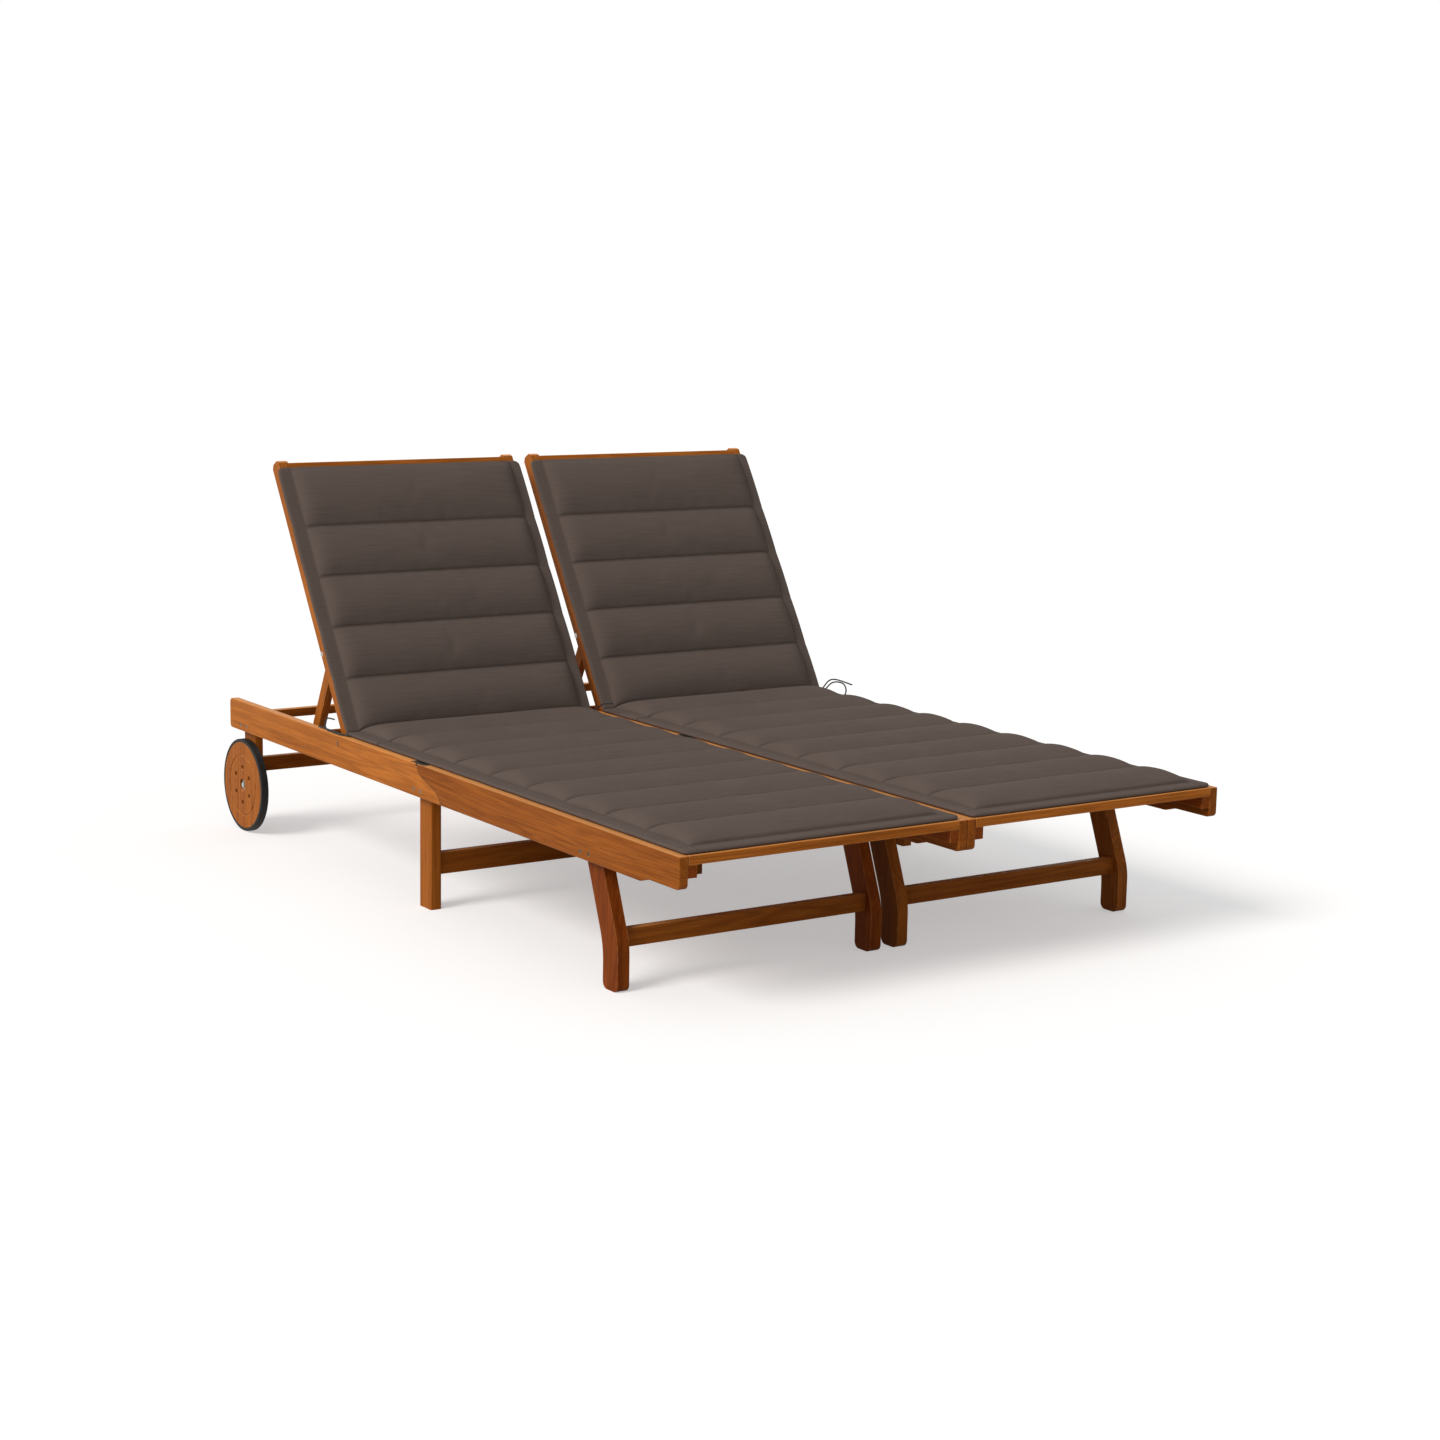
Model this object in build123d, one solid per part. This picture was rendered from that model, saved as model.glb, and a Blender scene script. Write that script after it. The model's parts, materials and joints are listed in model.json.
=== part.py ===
from build123d import *
import math
import os

# Double chaise lounger: two wooden loungers side by side, bolted together.
# Millimetres. X runs across, +Y points to the head end, +Z is up.
# The origin is on the floor, in the middle of the overall length and width.

# Main sizes; the wheels stand out beyond the rails' head ends
rail_length = 1956.0
lounger_width = 660.0
lounger_gap = 0.8
seat_height = 311.0

# General clearances
running_gap = 0.3
bore_gap = 0.05
hole_gap = 0.1
cut_overrun = 5.0

# Side rails
rail_depth = 70.5
rail_thickness = 20.0
rail_corner = 10.0
rail_edge = 2.5
toe_depth = 62.0
toe_length = 101.0
toe_slope_run = 30.0
toe_slope_radius = 20.0
toe_top_radius = 3.0

# Fold joint between the head and the foot rails
fold_share = 0.5133
fold_axis_drop = 3.0
fold_relief = 4.5
nose_reach = 106.0
# Nose curve of the head rail: shares of its reach and of the rail's depth
nose_shares = [(0.09, 0.22), (0.25, 0.36), (0.53, 0.49), (0.77, 0.62), (0.92, 0.77), (1.0, 1.0)]

# Fold hinges, let into the rails' top edges
hinge_leaf_length = 30.0
hinge_leaf_width = 16.0
hinge_leaf_thickness = 1.5
hinge_leaf_setback = 4.0
hinge_barrel_radius = 2.8
hinge_pin_radius = 1.2
knuckle_gap = 0.3

# Slats and the battens that carry them
slat_thickness = 18.0
slat_fill_share = 0.865
slat_edge = 2.0
slat_end_gap = 0.5
seat_slat_margin = 6.0
seat_slats_before_pivot = 25.0
foot_slat_count = 15
head_slat_count = 5
back_slat_count = 9
batten_width = 20.0
batten_depth = 24.0
batten_end_gap = 2.0

# Middle legs
mid_leg_width = 25.0
mid_leg_depth = 51.0
mid_leg_share = 0.499
leg_edge = 3.0

# Rear legs and wheels
rear_leg_thickness = 22.0
rear_leg_depth = 58.0
rear_leg_below_axle = 54.0
axle_from_head_end = 66.0
wheel_top_gap = 20.5
wheel_width = 18.0
wheel_inset = 0.6
tyre_thickness = 7.5
tyre_round = 2.5
wheel_edge = 2.0
wheel_hole_radius = 6.5
wheel_hole_circle_share = 0.385
wheel_hole_count = 6
wheel_groove_share = 0.67
wheel_groove_width = 4.0
wheel_groove_depth = 1.5
hub_recess_radius = 15.0
hub_recess_depth = 5.5
axle_radius = 4.0
axle_head_radius = 7.5
axle_head_height = 4.5
axle_washer_radius = 12.5
axle_washer_thickness = 0.8
axle_nut_radius = 7.5
axle_nut_height = 6.5
spacer_radius = 11.0

# Front legs: upright foot, bent back under the rail
front_leg_width = 26.0
front_leg_depth = 52.5
front_leg_share = 0.1196
front_leg_bend_height = 92.0
front_leg_splay = 21.5
front_leg_bend_radius = 120.0
front_leg_toe_radius = 14.0

# Stretchers between legs, and the head crossbar
stretcher_thickness = 20.0
front_stretcher_depth = 36.0
front_stretcher_bottom = 81.0
mid_stretcher_depth = 47.0
mid_stretcher_bottom = 74.0
mid_stretcher_setback = 4.0
rear_stretcher_depth = 34.0
rear_stretcher_above_axle = 28.0
crossbar_depth = 20.0
crossbar_width = 20.0
crossbar_from_end = 2.0

# Backrest
back_pivot_share = 0.703
back_angle = 58.0
stile_depth = 36.0
stile_thickness = 24.0
stile_side_gap = 5.0
stile_reach_share = 0.3553
stile_tip_chamfer = 8.0
rebate_width = 8.0
top_rail_width = 46.0
top_rail_from_tip = 9.0
back_slat_start = 16.0
pivot_bolt_radius = 4.0
pivot_head_radius = 7.0
pivot_head_height = 3.0
pivot_washer_radius = 9.0

# Prop frame and the ladders under the rails that hold it
prop_length_share = 0.1135
prop_pivot_drop = 14.5
prop_width = 27.0
prop_thickness = 18.0
prop_side_gap = 1.0
prop_bolt_radius = 3.0
prop_head_radius = 6.0
prop_head_height = 3.0
bar_radius = 8.0
bar_end_gap = 1.0
ladder_fall = 4.85
ladder_width = 20.0
ladder_bottom_drop = 5.0
ladder_step = 38.0
ladder_step_count = 3
ladder_stop_length = 24.0
ladder_tail = 22.0
ladder_stop_top_gap = 2.5
notch_radius = 8.4
notch_depth = 5.0

# Screws and joining bolts
screw_radius = 2.0
screw_head_radius = 4.2
screw_head_height = 2.2
screw_length = 40.0
screw_spacing = 31.0
rear_screw_lead = 12.0
joining_bolt_radius = 3.0
joining_head_radius = 6.0
joining_head_height = 3.0
joining_bolt_drop = 50.0
joining_bolt_shares = (0.60, 0.76)

# Cushions
cushion_margin = 14.0
cushion_lift = 0.3
cushion_crown = 29.0
cushion_side_crown = 26.0
cushion_seam_height = 14.0
cushion_border_height = 9.0
cushion_border = 30.0
cushion_roll = 40.0
cushion_front_from_foot = 4.0
cushion_side_draw = 4.0
cushion_corner = 12.0
foot_channel_count = 7
seat_channel_count = 2
back_channel_count = 5
fold_end_gap = 3.7
seat_end_from_pivot = 11.0
back_start = 12.0
back_cushion_tip_gap = 24.0
crease_shoulder = 60.0

# Cushion ties, sewn into the seat cushions' sides. Each place is: in from the rail's
# outer face, on from the backrest's pivot towards the head, and up from the rail's top.
tie_radius = 1.75
outer_left_loop = [
    (18.5, -25.0, 4.6), (9.5, -15.0, 3.4), (6.2, 0.0, 2.3), (5.6, 20.0, 2.2), (6.3, 45.0, 2.4),
    (5.8, 70.5, 2.3), (6.5, 78.0, 15.3), (7.0, 69.0, 28.0), (6.2, 50.0, 31.0), (5.5, 28.0, 31.5),
]
outer_left_tail = [
    (17.5, -40.0, 4.8), (11.4, -28.0, 3.8), (10.4, -8.0, 2.6), (10.9, 18.0, 2.2),
    (10.3, 44.0, 2.4), (10.9, 70.0, 2.2), (10.2, 94.0, 2.5), (10.8, 118.0, 2.3),
]
inner_left_loop = [
    (18.0, -17.0, 5.0), (9.5, -20.0, 10.0), (6.4, -31.0, 18.0),
    (5.6, -47.0, 27.0), (6.2, -69.0, 32.0), (5.6, -92.0, 34.5),
]
inner_left_tail = [
    (17.2, -26.0, 4.6), (11.4, -37.0, 3.2), (10.2, -55.0, 2.3), (9.6, -78.0, 2.5), (10.1, -100.0, 2.3),
]
outer_right_loop = [
    (18.0, -17.0, 5.0), (8.0, -17.5, 14.0), (5.6, -27.0, 27.0), (5.2, -42.0, 35.5),
    (5.8, -62.0, 38.5), (5.2, -85.0, 37.6), (5.7, -108.0, 36.0), (5.2, -128.0, 34.2),
]
outer_right_tail = [
    (17.2, -26.0, 4.6), (11.2, -33.0, 13.0), (9.8, -46.0, 26.0), (10.2, -64.0, 33.0), (9.8, -84.0, 35.0),
    (10.2, -104.7, 33.0), (9.8, -113.3, 18.0), (9.3, -104.7, 3.0), (9.7, -86.0, 2.3),
]

# Worked out from the sizes above
rail_bottom = seat_height - rail_depth
wheel_radius = (rail_bottom - wheel_top_gap) / 2
overall_length = rail_length - axle_from_head_end + wheel_radius
foot_end = -overall_length / 2
half_width = lounger_width / 2
lounger_centre = half_width + lounger_gap / 2
rail_inside = half_width - rail_thickness
slat_bottom = seat_height - slat_thickness
batten_bottom = slat_bottom - batten_depth
fold_y = foot_end + fold_share * rail_length
fold_z = seat_height - fold_axis_drop
axle_y = foot_end + rail_length - axle_from_head_end
axle_z = wheel_radius
head_end = foot_end + rail_length
pivot_y = foot_end + back_pivot_share * rail_length
pivot_z = seat_height - stile_depth / 2
stile_outside = rail_inside - stile_side_gap
stile_inside = stile_outside - stile_thickness
prop_outside = stile_inside - prop_side_gap
prop_inside = prop_outside - prop_thickness
back_top = stile_depth / 2
mid_leg_y = foot_end + mid_leg_share * rail_length
stile_reach = stile_reach_share * rail_length
prop_length = prop_length_share * rail_length
back_cushion_end = stile_reach - back_cushion_tip_gap
foot_slat_span = fold_y - seat_slat_margin - foot_end
slat_width = foot_slat_span / (foot_slat_count - 1 + slat_fill_share) * slat_fill_share
screw_z = (rail_bottom + batten_bottom) / 2
cushion_half = half_width - cushion_margin
prop_pivot_reach = math.sqrt(prop_length ** 2 - prop_pivot_drop ** 2)
prop_lag = math.degrees(math.atan(prop_pivot_drop / prop_pivot_reach))
stile_tilt = back_angle - prop_lag


def save(name, shape):
    export_step(shape, f"parts/{name}.step")


def between_x(face, x_from, x_to):
    """Extrude a face drawn in the YZ plane from x_from to x_to."""
    return Pos(x_from, 0, 0) * extrude(Plane.YZ * face, amount=x_to - x_from)


def block(x_from, x_to, y_from, y_to, z_from, z_to):
    centre = Pos((x_from + x_to) / 2, (y_from + y_to) / 2, (z_from + z_to) / 2)
    return centre * Box(x_to - x_from, y_to - y_from, z_to - z_from)


def rod_x(x_from, x_to, y, z, radius):
    turned = Pos((x_from + x_to) / 2, y, z) * Rot(0, 90, 0)
    return turned * Cylinder(radius, abs(x_to - x_from))


def shape_face(*points):
    return make_face(Polyline(*points, close=True))


def eased(part, axis, radius):
    """Round the long edges that run along one axis."""
    return fillet(part.edges().filter_by(axis), radius)


def on_side(side, x_from, x_to):
    """Order two distances from the lounger's middle as X values on one side."""
    return sorted((side * x_from, side * x_to))


def in_back_frame(shape):
    """Turn a piece drawn along the backrest, U to the head and N up, to its raised place."""
    return Pos(0, pivot_y, pivot_z) * Rot(back_angle, 0, 0) * shape


def both(make):
    """One piece on each side of a lounger, as one group."""
    return [make(-1), make(1)]


# Rails


def nose_curve():
    """The head rail's end from the fold axis down to the rail's bottom, in Y and Z."""
    points = [(fold_y - a * nose_reach, seat_height - b * rail_depth) for a, b in nose_shares]
    start = (fold_y, seat_height)
    upper = ThreePointArc(start, points[0], points[1])
    middle = ThreePointArc(points[1], points[2], points[3])
    lower = ThreePointArc(points[3], points[4], points[5])
    return [upper, middle, lower], start, points[5]


def head_rail_face():
    curve, top_point, bottom_point = nose_curve()
    rest = Polyline(bottom_point, (head_end, rail_bottom), (head_end, seat_height), top_point)
    face = make_face([edge for arc in curve for edge in arc.edges()] + list(rest.edges()))
    corners = face.vertices().group_by(Axis.X)[-1]
    return fillet(corners, rail_corner)


def foot_rail_face():
    toe_bottom = seat_height - toe_depth
    slope_start = foot_end + toe_length
    face = shape_face(
        (foot_end, seat_height),
        (foot_end, toe_bottom),
        (slope_start, toe_bottom),
        (slope_start + toe_slope_run, rail_bottom),
        (fold_y, rail_bottom),
        (fold_y, seat_height),
    )
    columns = face.vertices().group_by(Axis.X)
    face = fillet(columns[1] + columns[2], toe_slope_radius)
    toe = face.vertices().group_by(Axis.X)[0].sort_by(Axis.Y)
    face = fillet(toe[0], rail_corner)
    toe = face.vertices().group_by(Axis.X)[0].sort_by(Axis.Y)
    face = fillet(toe[-1], toe_top_radius)
    head_face = head_rail_face()
    face -= Pos(-running_gap, 0) * head_face
    face -= Pos(0, running_gap) * head_face
    return face


def hinge_seats(side):
    """Room for one fold hinge: its leaves' recesses and the barrel's relief."""
    x_from, x_to = on_side(side, rail_inside - cut_overrun, half_width + cut_overrun)
    leaf_from, leaf_to = on_side(side, hinge_from, hinge_from + hinge_leaf_width)
    recess_bottom = seat_height - hinge_leaf_thickness - hole_gap
    reach = hinge_leaf_length + hole_gap
    leaves = block(
        leaf_from - hole_gap, leaf_to + hole_gap,
        fold_y - reach, fold_y + reach,
        recess_bottom, seat_height + cut_overrun,
    )
    return leaves + rod_x(x_from, x_to, fold_y, fold_z, fold_relief)


hinge_from = rail_inside + (rail_thickness - hinge_leaf_width) / 2


def screw_places(part):
    """Y places of the screws that hold one kind of leg to its rail."""
    centres = {
        "mid": mid_leg_y + mid_leg_depth / 2,
        "rear": axle_y - rear_screw_lead,
        "front": front_leg_screw_y,
    }
    centre = centres[part]
    return [centre - screw_spacing / 2, centre + screw_spacing / 2]


splay_run = math.tan(math.radians(front_leg_splay))
front_leg_face_y = foot_end + front_leg_share * rail_length
front_leg_slant = front_leg_depth / math.cos(math.radians(front_leg_splay))
front_leg_screw_y = front_leg_face_y + (screw_z - front_leg_bend_height) * splay_run + front_leg_slant / 2


def screw_room(side, y):
    """The hole for one screw, through the rail and into the leg."""
    head_from, head_to = on_side(side, half_width - screw_head_height - hole_gap, half_width + cut_overrun)
    shank_from, shank_to = on_side(side, half_width - screw_length - hole_gap, half_width)
    head = rod_x(head_from, head_to, y, screw_z, screw_head_radius + hole_gap)
    return head + rod_x(shank_from, shank_to, y, screw_z, screw_radius + hole_gap)


def screw(side, y):
    head_from, head_to = on_side(side, half_width - screw_head_height, half_width)
    shank_from, shank_to = on_side(side, half_width - screw_length, half_width - screw_head_height)
    head = rod_x(head_from, head_to, y, screw_z, screw_head_radius)
    return head + rod_x(shank_from, shank_to, y, screw_z, screw_radius)


def bolt_room(side, y, z, head_radius, head_height, shank_radius, depth):
    """Counterbore and hole for a bolt that enters from the rail's outer face."""
    head_from, head_to = on_side(side, half_width - head_height - hole_gap, half_width + cut_overrun)
    shank_from, shank_to = on_side(side, half_width - depth, half_width)
    head = rod_x(head_from, head_to, y, z, head_radius + hole_gap)
    return head + rod_x(shank_from, shank_to, y, z, shank_radius + hole_gap)


def head_rail(side, joined):
    x_from, x_to = on_side(side, rail_inside, half_width)
    rail = between_x(head_rail_face(), x_from, x_to)
    rail = eased(rail, Axis.Y, rail_edge)
    rail -= hinge_seats(side)
    for y in screw_places("mid") + screw_places("rear"):
        rail -= screw_room(side, y)
    rail -= bolt_room(
        side, pivot_y, pivot_z, pivot_head_radius, pivot_head_height, pivot_bolt_radius,
        rail_thickness + cut_overrun,
    )
    if joined:
        for y in joining_places:
            inside = side * (rail_inside - cut_overrun)
            outside = side * (half_width + cut_overrun)
            rail -= rod_x(inside, outside, y, joining_z, joining_bolt_radius + hole_gap)
    return rail


joining_places = [foot_end + share * rail_length for share in joining_bolt_shares]
joining_z = seat_height - joining_bolt_drop


def foot_rail(side):
    x_from, x_to = on_side(side, rail_inside, half_width)
    rail = between_x(foot_rail_face(), x_from, x_to)
    rail = eased(rail, Axis.Y, rail_edge)
    rail -= hinge_seats(side)
    for y in screw_places("front"):
        rail -= screw_room(side, y)
    return rail


# Legs and the bars between them


def mid_leg(side):
    x_from, x_to = on_side(side, rail_inside - mid_leg_width, rail_inside)
    top = batten_bottom - running_gap
    leg = block(x_from, x_to, mid_leg_y, mid_leg_y + mid_leg_depth, 0, top)
    leg = eased(leg, Axis.Z, leg_edge)
    for y in screw_places("mid"):
        leg -= screw_room(side, y)
    return leg


def rear_leg(side):
    x_from, x_to = on_side(side, rail_inside - rear_leg_thickness, rail_inside)
    y_from = axle_y - rear_leg_depth / 2
    leg = block(x_from, x_to, y_from, y_from + rear_leg_depth, axle_z - rear_leg_below_axle, batten_bottom)
    leg = eased(leg, Axis.Z, leg_edge)
    leg -= rod_x(x_from - cut_overrun, x_to + cut_overrun, axle_y, axle_z, axle_radius + hole_gap)
    for y in screw_places("rear"):
        leg -= screw_room(side, y)
    return leg


def front_leg_face():
    """Side view of a front leg: an upright foot, bent back to the rail."""
    rise = batten_bottom - front_leg_bend_height
    front_y = front_leg_face_y
    rear_y = front_y + front_leg_depth
    half_turn = math.radians(front_leg_splay / 2)
    rear_bend = front_leg_bend_height - front_leg_depth * math.tan(half_turn)
    front_top = front_y + rise * splay_run
    outline = FilletPolyline(
        (front_y, 0),
        (front_y, front_leg_bend_height),
        (front_top, batten_bottom),
        radius=front_leg_bend_radius,
    )
    rear = FilletPolyline(
        (front_top + front_leg_slant, batten_bottom),
        (rear_y, rear_bend),
        (rear_y, 0),
        radius=front_leg_bend_radius + front_leg_depth,
    )
    top = Line((front_top, batten_bottom), (front_top + front_leg_slant, batten_bottom))
    sole = Line((rear_y, 0), (front_y, 0))
    face = make_face(list(outline.edges()) + list(rear.edges()) + [top.edge(), sole.edge()])
    return fillet(face.vertices().group_by(Axis.Y)[0], front_leg_toe_radius)


def front_leg(side):
    x_from, x_to = on_side(side, rail_inside - front_leg_width, rail_inside)
    leg = between_x(front_leg_face(), x_from, x_to)
    for y in screw_places("front"):
        leg -= screw_room(side, y)
    return leg


def stretcher(leg_width, y, bottom, depth):
    """A bar between a pair of legs, butted to their inner faces."""
    reach = rail_inside - leg_width
    half = stretcher_thickness / 2
    bar = block(-reach, reach, y - half, y + half, bottom, bottom + depth)
    return eased(bar, Axis.X, slat_edge)


def front_stretcher():
    middle = front_stretcher_bottom + front_stretcher_depth / 2
    lean = (middle - front_leg_bend_height) * splay_run
    y = front_leg_face_y + lean + front_leg_slant / 2
    return stretcher(front_leg_width, y, front_stretcher_bottom, front_stretcher_depth)


def mid_stretcher():
    y = mid_leg_y + mid_stretcher_setback + stretcher_thickness / 2
    return stretcher(mid_leg_width, y, mid_stretcher_bottom, mid_stretcher_depth)


def rear_stretcher():
    y = axle_y + axle_washer_radius
    return stretcher(rear_leg_thickness, y, axle_z + rear_stretcher_above_axle, rear_stretcher_depth)


def head_crossbar():
    top = pivot_z - back_top - running_gap
    y_to = head_end - crossbar_from_end
    bar = block(-rail_inside, rail_inside, y_to - crossbar_width, y_to, top - crossbar_depth, top)
    return eased(bar, Axis.X, slat_edge)


# Battens and slats of the seat


def batten(side, y_from, y_to):
    x_from, x_to = on_side(side, rail_inside - batten_width, rail_inside)
    return block(x_from, x_to, y_from, y_to, batten_bottom, slat_bottom)


def slat(y, half_length, z_from):
    bar = block(-half_length, half_length, y, y + slat_width, z_from, z_from + slat_thickness)
    return eased(bar, Axis.X, slat_edge)


def slat_row(y_from, y_to, count):
    pitch = (y_to - y_from - slat_width) / (count - 1)
    half_length = rail_inside - slat_end_gap
    return [slat(y_from + i * pitch, half_length, slat_bottom) for i in range(count)]


seat_slats_end = pivot_y - seat_slats_before_pivot


def foot_slats():
    return slat_row(foot_end, fold_y - seat_slat_margin, foot_slat_count)


def head_slats():
    return slat_row(fold_y + seat_slat_margin, seat_slats_end, head_slat_count)


def foot_battens():
    return both(lambda side: batten(side, foot_end + batten_end_gap, fold_y - batten_end_gap))


def head_battens():
    return both(lambda side: batten(side, fold_y + batten_end_gap, seat_slats_end))


# Fold hinges


def hinge_leaf(side, toward, x_from, x_to, neck_from, neck_to):
    """A leaf on one side of the fold axis, with the neck that joins it to its knuckle."""
    leaf_start = fold_y + toward * hinge_leaf_setback
    leaf_end = fold_y + toward * hinge_leaf_length
    bottom = seat_height - hinge_leaf_thickness
    y_from, y_to = sorted((leaf_start, leaf_end))
    leaf = block(x_from, x_to, y_from, y_to, bottom, seat_height)
    n_from, n_to = sorted((fold_y, leaf_end))
    return leaf + block(neck_from, neck_to, n_from, n_to, bottom, seat_height)


def moving_leaf(side):
    """The leaf on the foot rail, with the middle knuckle."""
    x_from, x_to = on_side(side, hinge_from, hinge_from + hinge_leaf_width)
    third = hinge_leaf_width / 3
    k_from = x_from + third + knuckle_gap / 2
    k_to = x_to - third - knuckle_gap / 2
    leaf = hinge_leaf(side, -1, x_from, x_to, k_from, k_to)
    leaf += rod_x(k_from, k_to, fold_y, fold_z, hinge_barrel_radius)
    return leaf - rod_x(x_from, x_to, fold_y, fold_z, hinge_pin_radius + bore_gap)


def fixed_leaf(side):
    """The leaf on the head rail, with the outer knuckles and the pin."""
    x_from, x_to = on_side(side, hinge_from, hinge_from + hinge_leaf_width)
    third = hinge_leaf_width / 3
    leaf = hinge_leaf(side, 1, x_from, x_to, x_from, x_from + third - knuckle_gap / 2)
    leaf += hinge_leaf(side, 1, x_from, x_to, x_to - third + knuckle_gap / 2, x_to)
    for k_from, k_to in ((x_from, x_from + third - knuckle_gap / 2), (x_to - third + knuckle_gap / 2, x_to)):
        leaf += rod_x(k_from, k_to, fold_y, fold_z, hinge_barrel_radius)
    return leaf + rod_x(x_from, x_to, fold_y, fold_z, hinge_pin_radius)


# Backrest, drawn flat along Y with its pivot at the origin, then raised


def stile(side):
    x_from, x_to = on_side(side, stile_inside, stile_outside)
    low = -back_top
    face = shape_face((low, low), (stile_reach, low), (stile_reach, back_top), (low, back_top))
    ends = face.vertices().group_by(Axis.X)
    face = fillet(ends[0], back_top - bore_gap)
    face = chamfer(face.vertices().group_by(Axis.X)[-1], stile_tip_chamfer)
    piece = between_x(face, x_from, x_to)
    r_from, r_to = on_side(side, stile_inside - cut_overrun, stile_inside + rebate_width)
    piece -= block(
        r_from, r_to, back_slat_start - slat_end_gap, top_rail_end + slat_end_gap,
        back_top - slat_thickness, back_top + cut_overrun,
    )
    piece -= rod_x(x_from - cut_overrun, x_to + cut_overrun, 0, 0, pivot_bolt_radius + bore_gap)
    bolt_y = prop_pivot_reach
    piece -= rod_x(x_from - cut_overrun, x_to + cut_overrun, bolt_y, -prop_pivot_drop, prop_bolt_radius + hole_gap)
    head_from, head_to = on_side(side, stile_outside - prop_head_height - hole_gap, stile_outside + cut_overrun)
    piece -= rod_x(head_from, head_to, bolt_y, -prop_pivot_drop, prop_head_radius + hole_gap)
    return in_back_frame(piece)


top_rail_end = stile_reach - top_rail_from_tip
back_slat_half = stile_inside + rebate_width - slat_end_gap


def back_bar(y_from, y_to):
    """A slat or rail that lies in the stiles' rebates."""
    bottom = back_top - slat_thickness
    bar = block(-back_slat_half, back_slat_half, y_from, y_to, bottom, back_top)
    return in_back_frame(eased(bar, Axis.X, slat_edge))


def back_slats():
    last = top_rail_end - top_rail_width - (slat_width / 4)
    pitch = (last - back_slat_start - slat_width) / (back_slat_count - 1)
    starts = [back_slat_start + i * pitch for i in range(back_slat_count)]
    return [back_bar(start, start + slat_width) for start in starts]


def back_top_rail():
    return back_bar(top_rail_end - top_rail_width, top_rail_end)


def pivot_bolt(side):
    """The bolt that the backrest turns on, with its washer between rail and stile."""
    head_from, head_to = on_side(side, half_width - pivot_head_height, half_width)
    shank_from, shank_to = on_side(side, stile_inside, half_width)
    washer_from, washer_to = on_side(side, stile_outside + running_gap, rail_inside)
    bolt = rod_x(head_from, head_to, pivot_y, pivot_z, pivot_head_radius)
    bolt += rod_x(shank_from, shank_to, pivot_y, pivot_z, pivot_bolt_radius)
    return bolt + rod_x(washer_from, washer_to, pivot_y, pivot_z, pivot_washer_radius)


# Prop frame


def prop_place(angle):
    """Direction of the prop frame when the stile-to-pivot line stands at an angle."""
    return -(angle + 2 * ladder_fall)


def prop_pivot():
    tilt = math.radians(stile_tilt)
    y = pivot_y + prop_length * math.cos(tilt)
    z = pivot_z + prop_length * math.sin(tilt)
    return y, z


def bar_place():
    y, z = prop_pivot()
    lean = math.radians(prop_place(stile_tilt))
    return y + prop_length * math.cos(lean), z + prop_length * math.sin(lean)


def strut(side):
    """One side of the prop frame, drawn along Y from its pivot, then swung to its place."""
    x_from, x_to = on_side(side, prop_inside, prop_outside)
    face = SlotCenterToCenter(prop_length, prop_width)
    piece = between_x(Pos(prop_length / 2, 0) * face, x_from, x_to)
    piece -= rod_x(x_from - cut_overrun, x_to + cut_overrun, 0, 0, prop_bolt_radius + bore_gap)
    piece -= rod_x(x_from - cut_overrun, x_to + cut_overrun, prop_length, 0, bar_radius + bore_gap)
    y, z = prop_pivot()
    return Pos(0, y, z) * Rot(prop_place(stile_tilt), 0, 0) * piece


def prop_bar():
    y, z = bar_place()
    reach = rail_inside - bar_end_gap
    return rod_x(-reach, reach, y, z, bar_radius)


def prop_bolt(side):
    """Bolt that the prop frame turns on: head let into the stile, nut inside the strut."""
    y, z = prop_pivot()
    nut_end = prop_inside - prop_head_height - running_gap
    head_from, head_to = on_side(side, stile_outside - prop_head_height, stile_outside)
    shank_from, shank_to = on_side(side, nut_end, stile_outside - prop_head_height)
    nut_from, nut_to = on_side(side, nut_end, prop_inside - running_gap)
    bolt = rod_x(shank_from, shank_to, y, z, prop_bolt_radius)
    bolt += rod_x(head_from, head_to, y, z, prop_head_radius)
    return bolt + rod_x(nut_from, nut_to, y, z, prop_head_radius)


def ladder(side):
    """Notched batten inside the rail. Its top runs along the path of the prop frame's bar."""
    x_from, x_to = on_side(side, rail_inside - ladder_width, rail_inside)
    fall = math.radians(ladder_fall)
    rest = 2 * prop_length * math.cos(math.radians(stile_tilt + ladder_fall))
    under = bar_radius + running_gap

    def on_path(distance, drop):
        y = pivot_y + distance * math.cos(fall) - drop * math.sin(fall)
        z = pivot_z - distance * math.sin(fall) - drop * math.cos(fall)
        return y, z

    wall = rest - under
    tail = rest + ladder_step * ladder_step_count + ladder_tail
    stop_y = on_path(wall, under)[0]
    stop_top = pivot_z - back_top - ladder_stop_top_gap
    bottom = rail_bottom - ladder_bottom_drop
    face = shape_face(
        (stop_y - ladder_stop_length, bottom),
        (on_path(tail, under)[0], bottom),
        on_path(tail, under),
        on_path(wall, under),
        (stop_y, stop_top),
        (stop_y - ladder_stop_length, stop_top),
    )
    for i in range(ladder_step_count):
        y, z = on_path(rest + ladder_step * (i + 1), under + notch_depth - notch_radius)
        face -= Pos(y, z) * Circle(notch_radius)
    return between_x(face, x_from, x_to)


# Wheels


def wheel_span(side):
    """X range of a wheel, just inside its rail's outer face."""
    return on_side(side, half_width - wheel_inset - wheel_width, half_width - wheel_inset)


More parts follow.
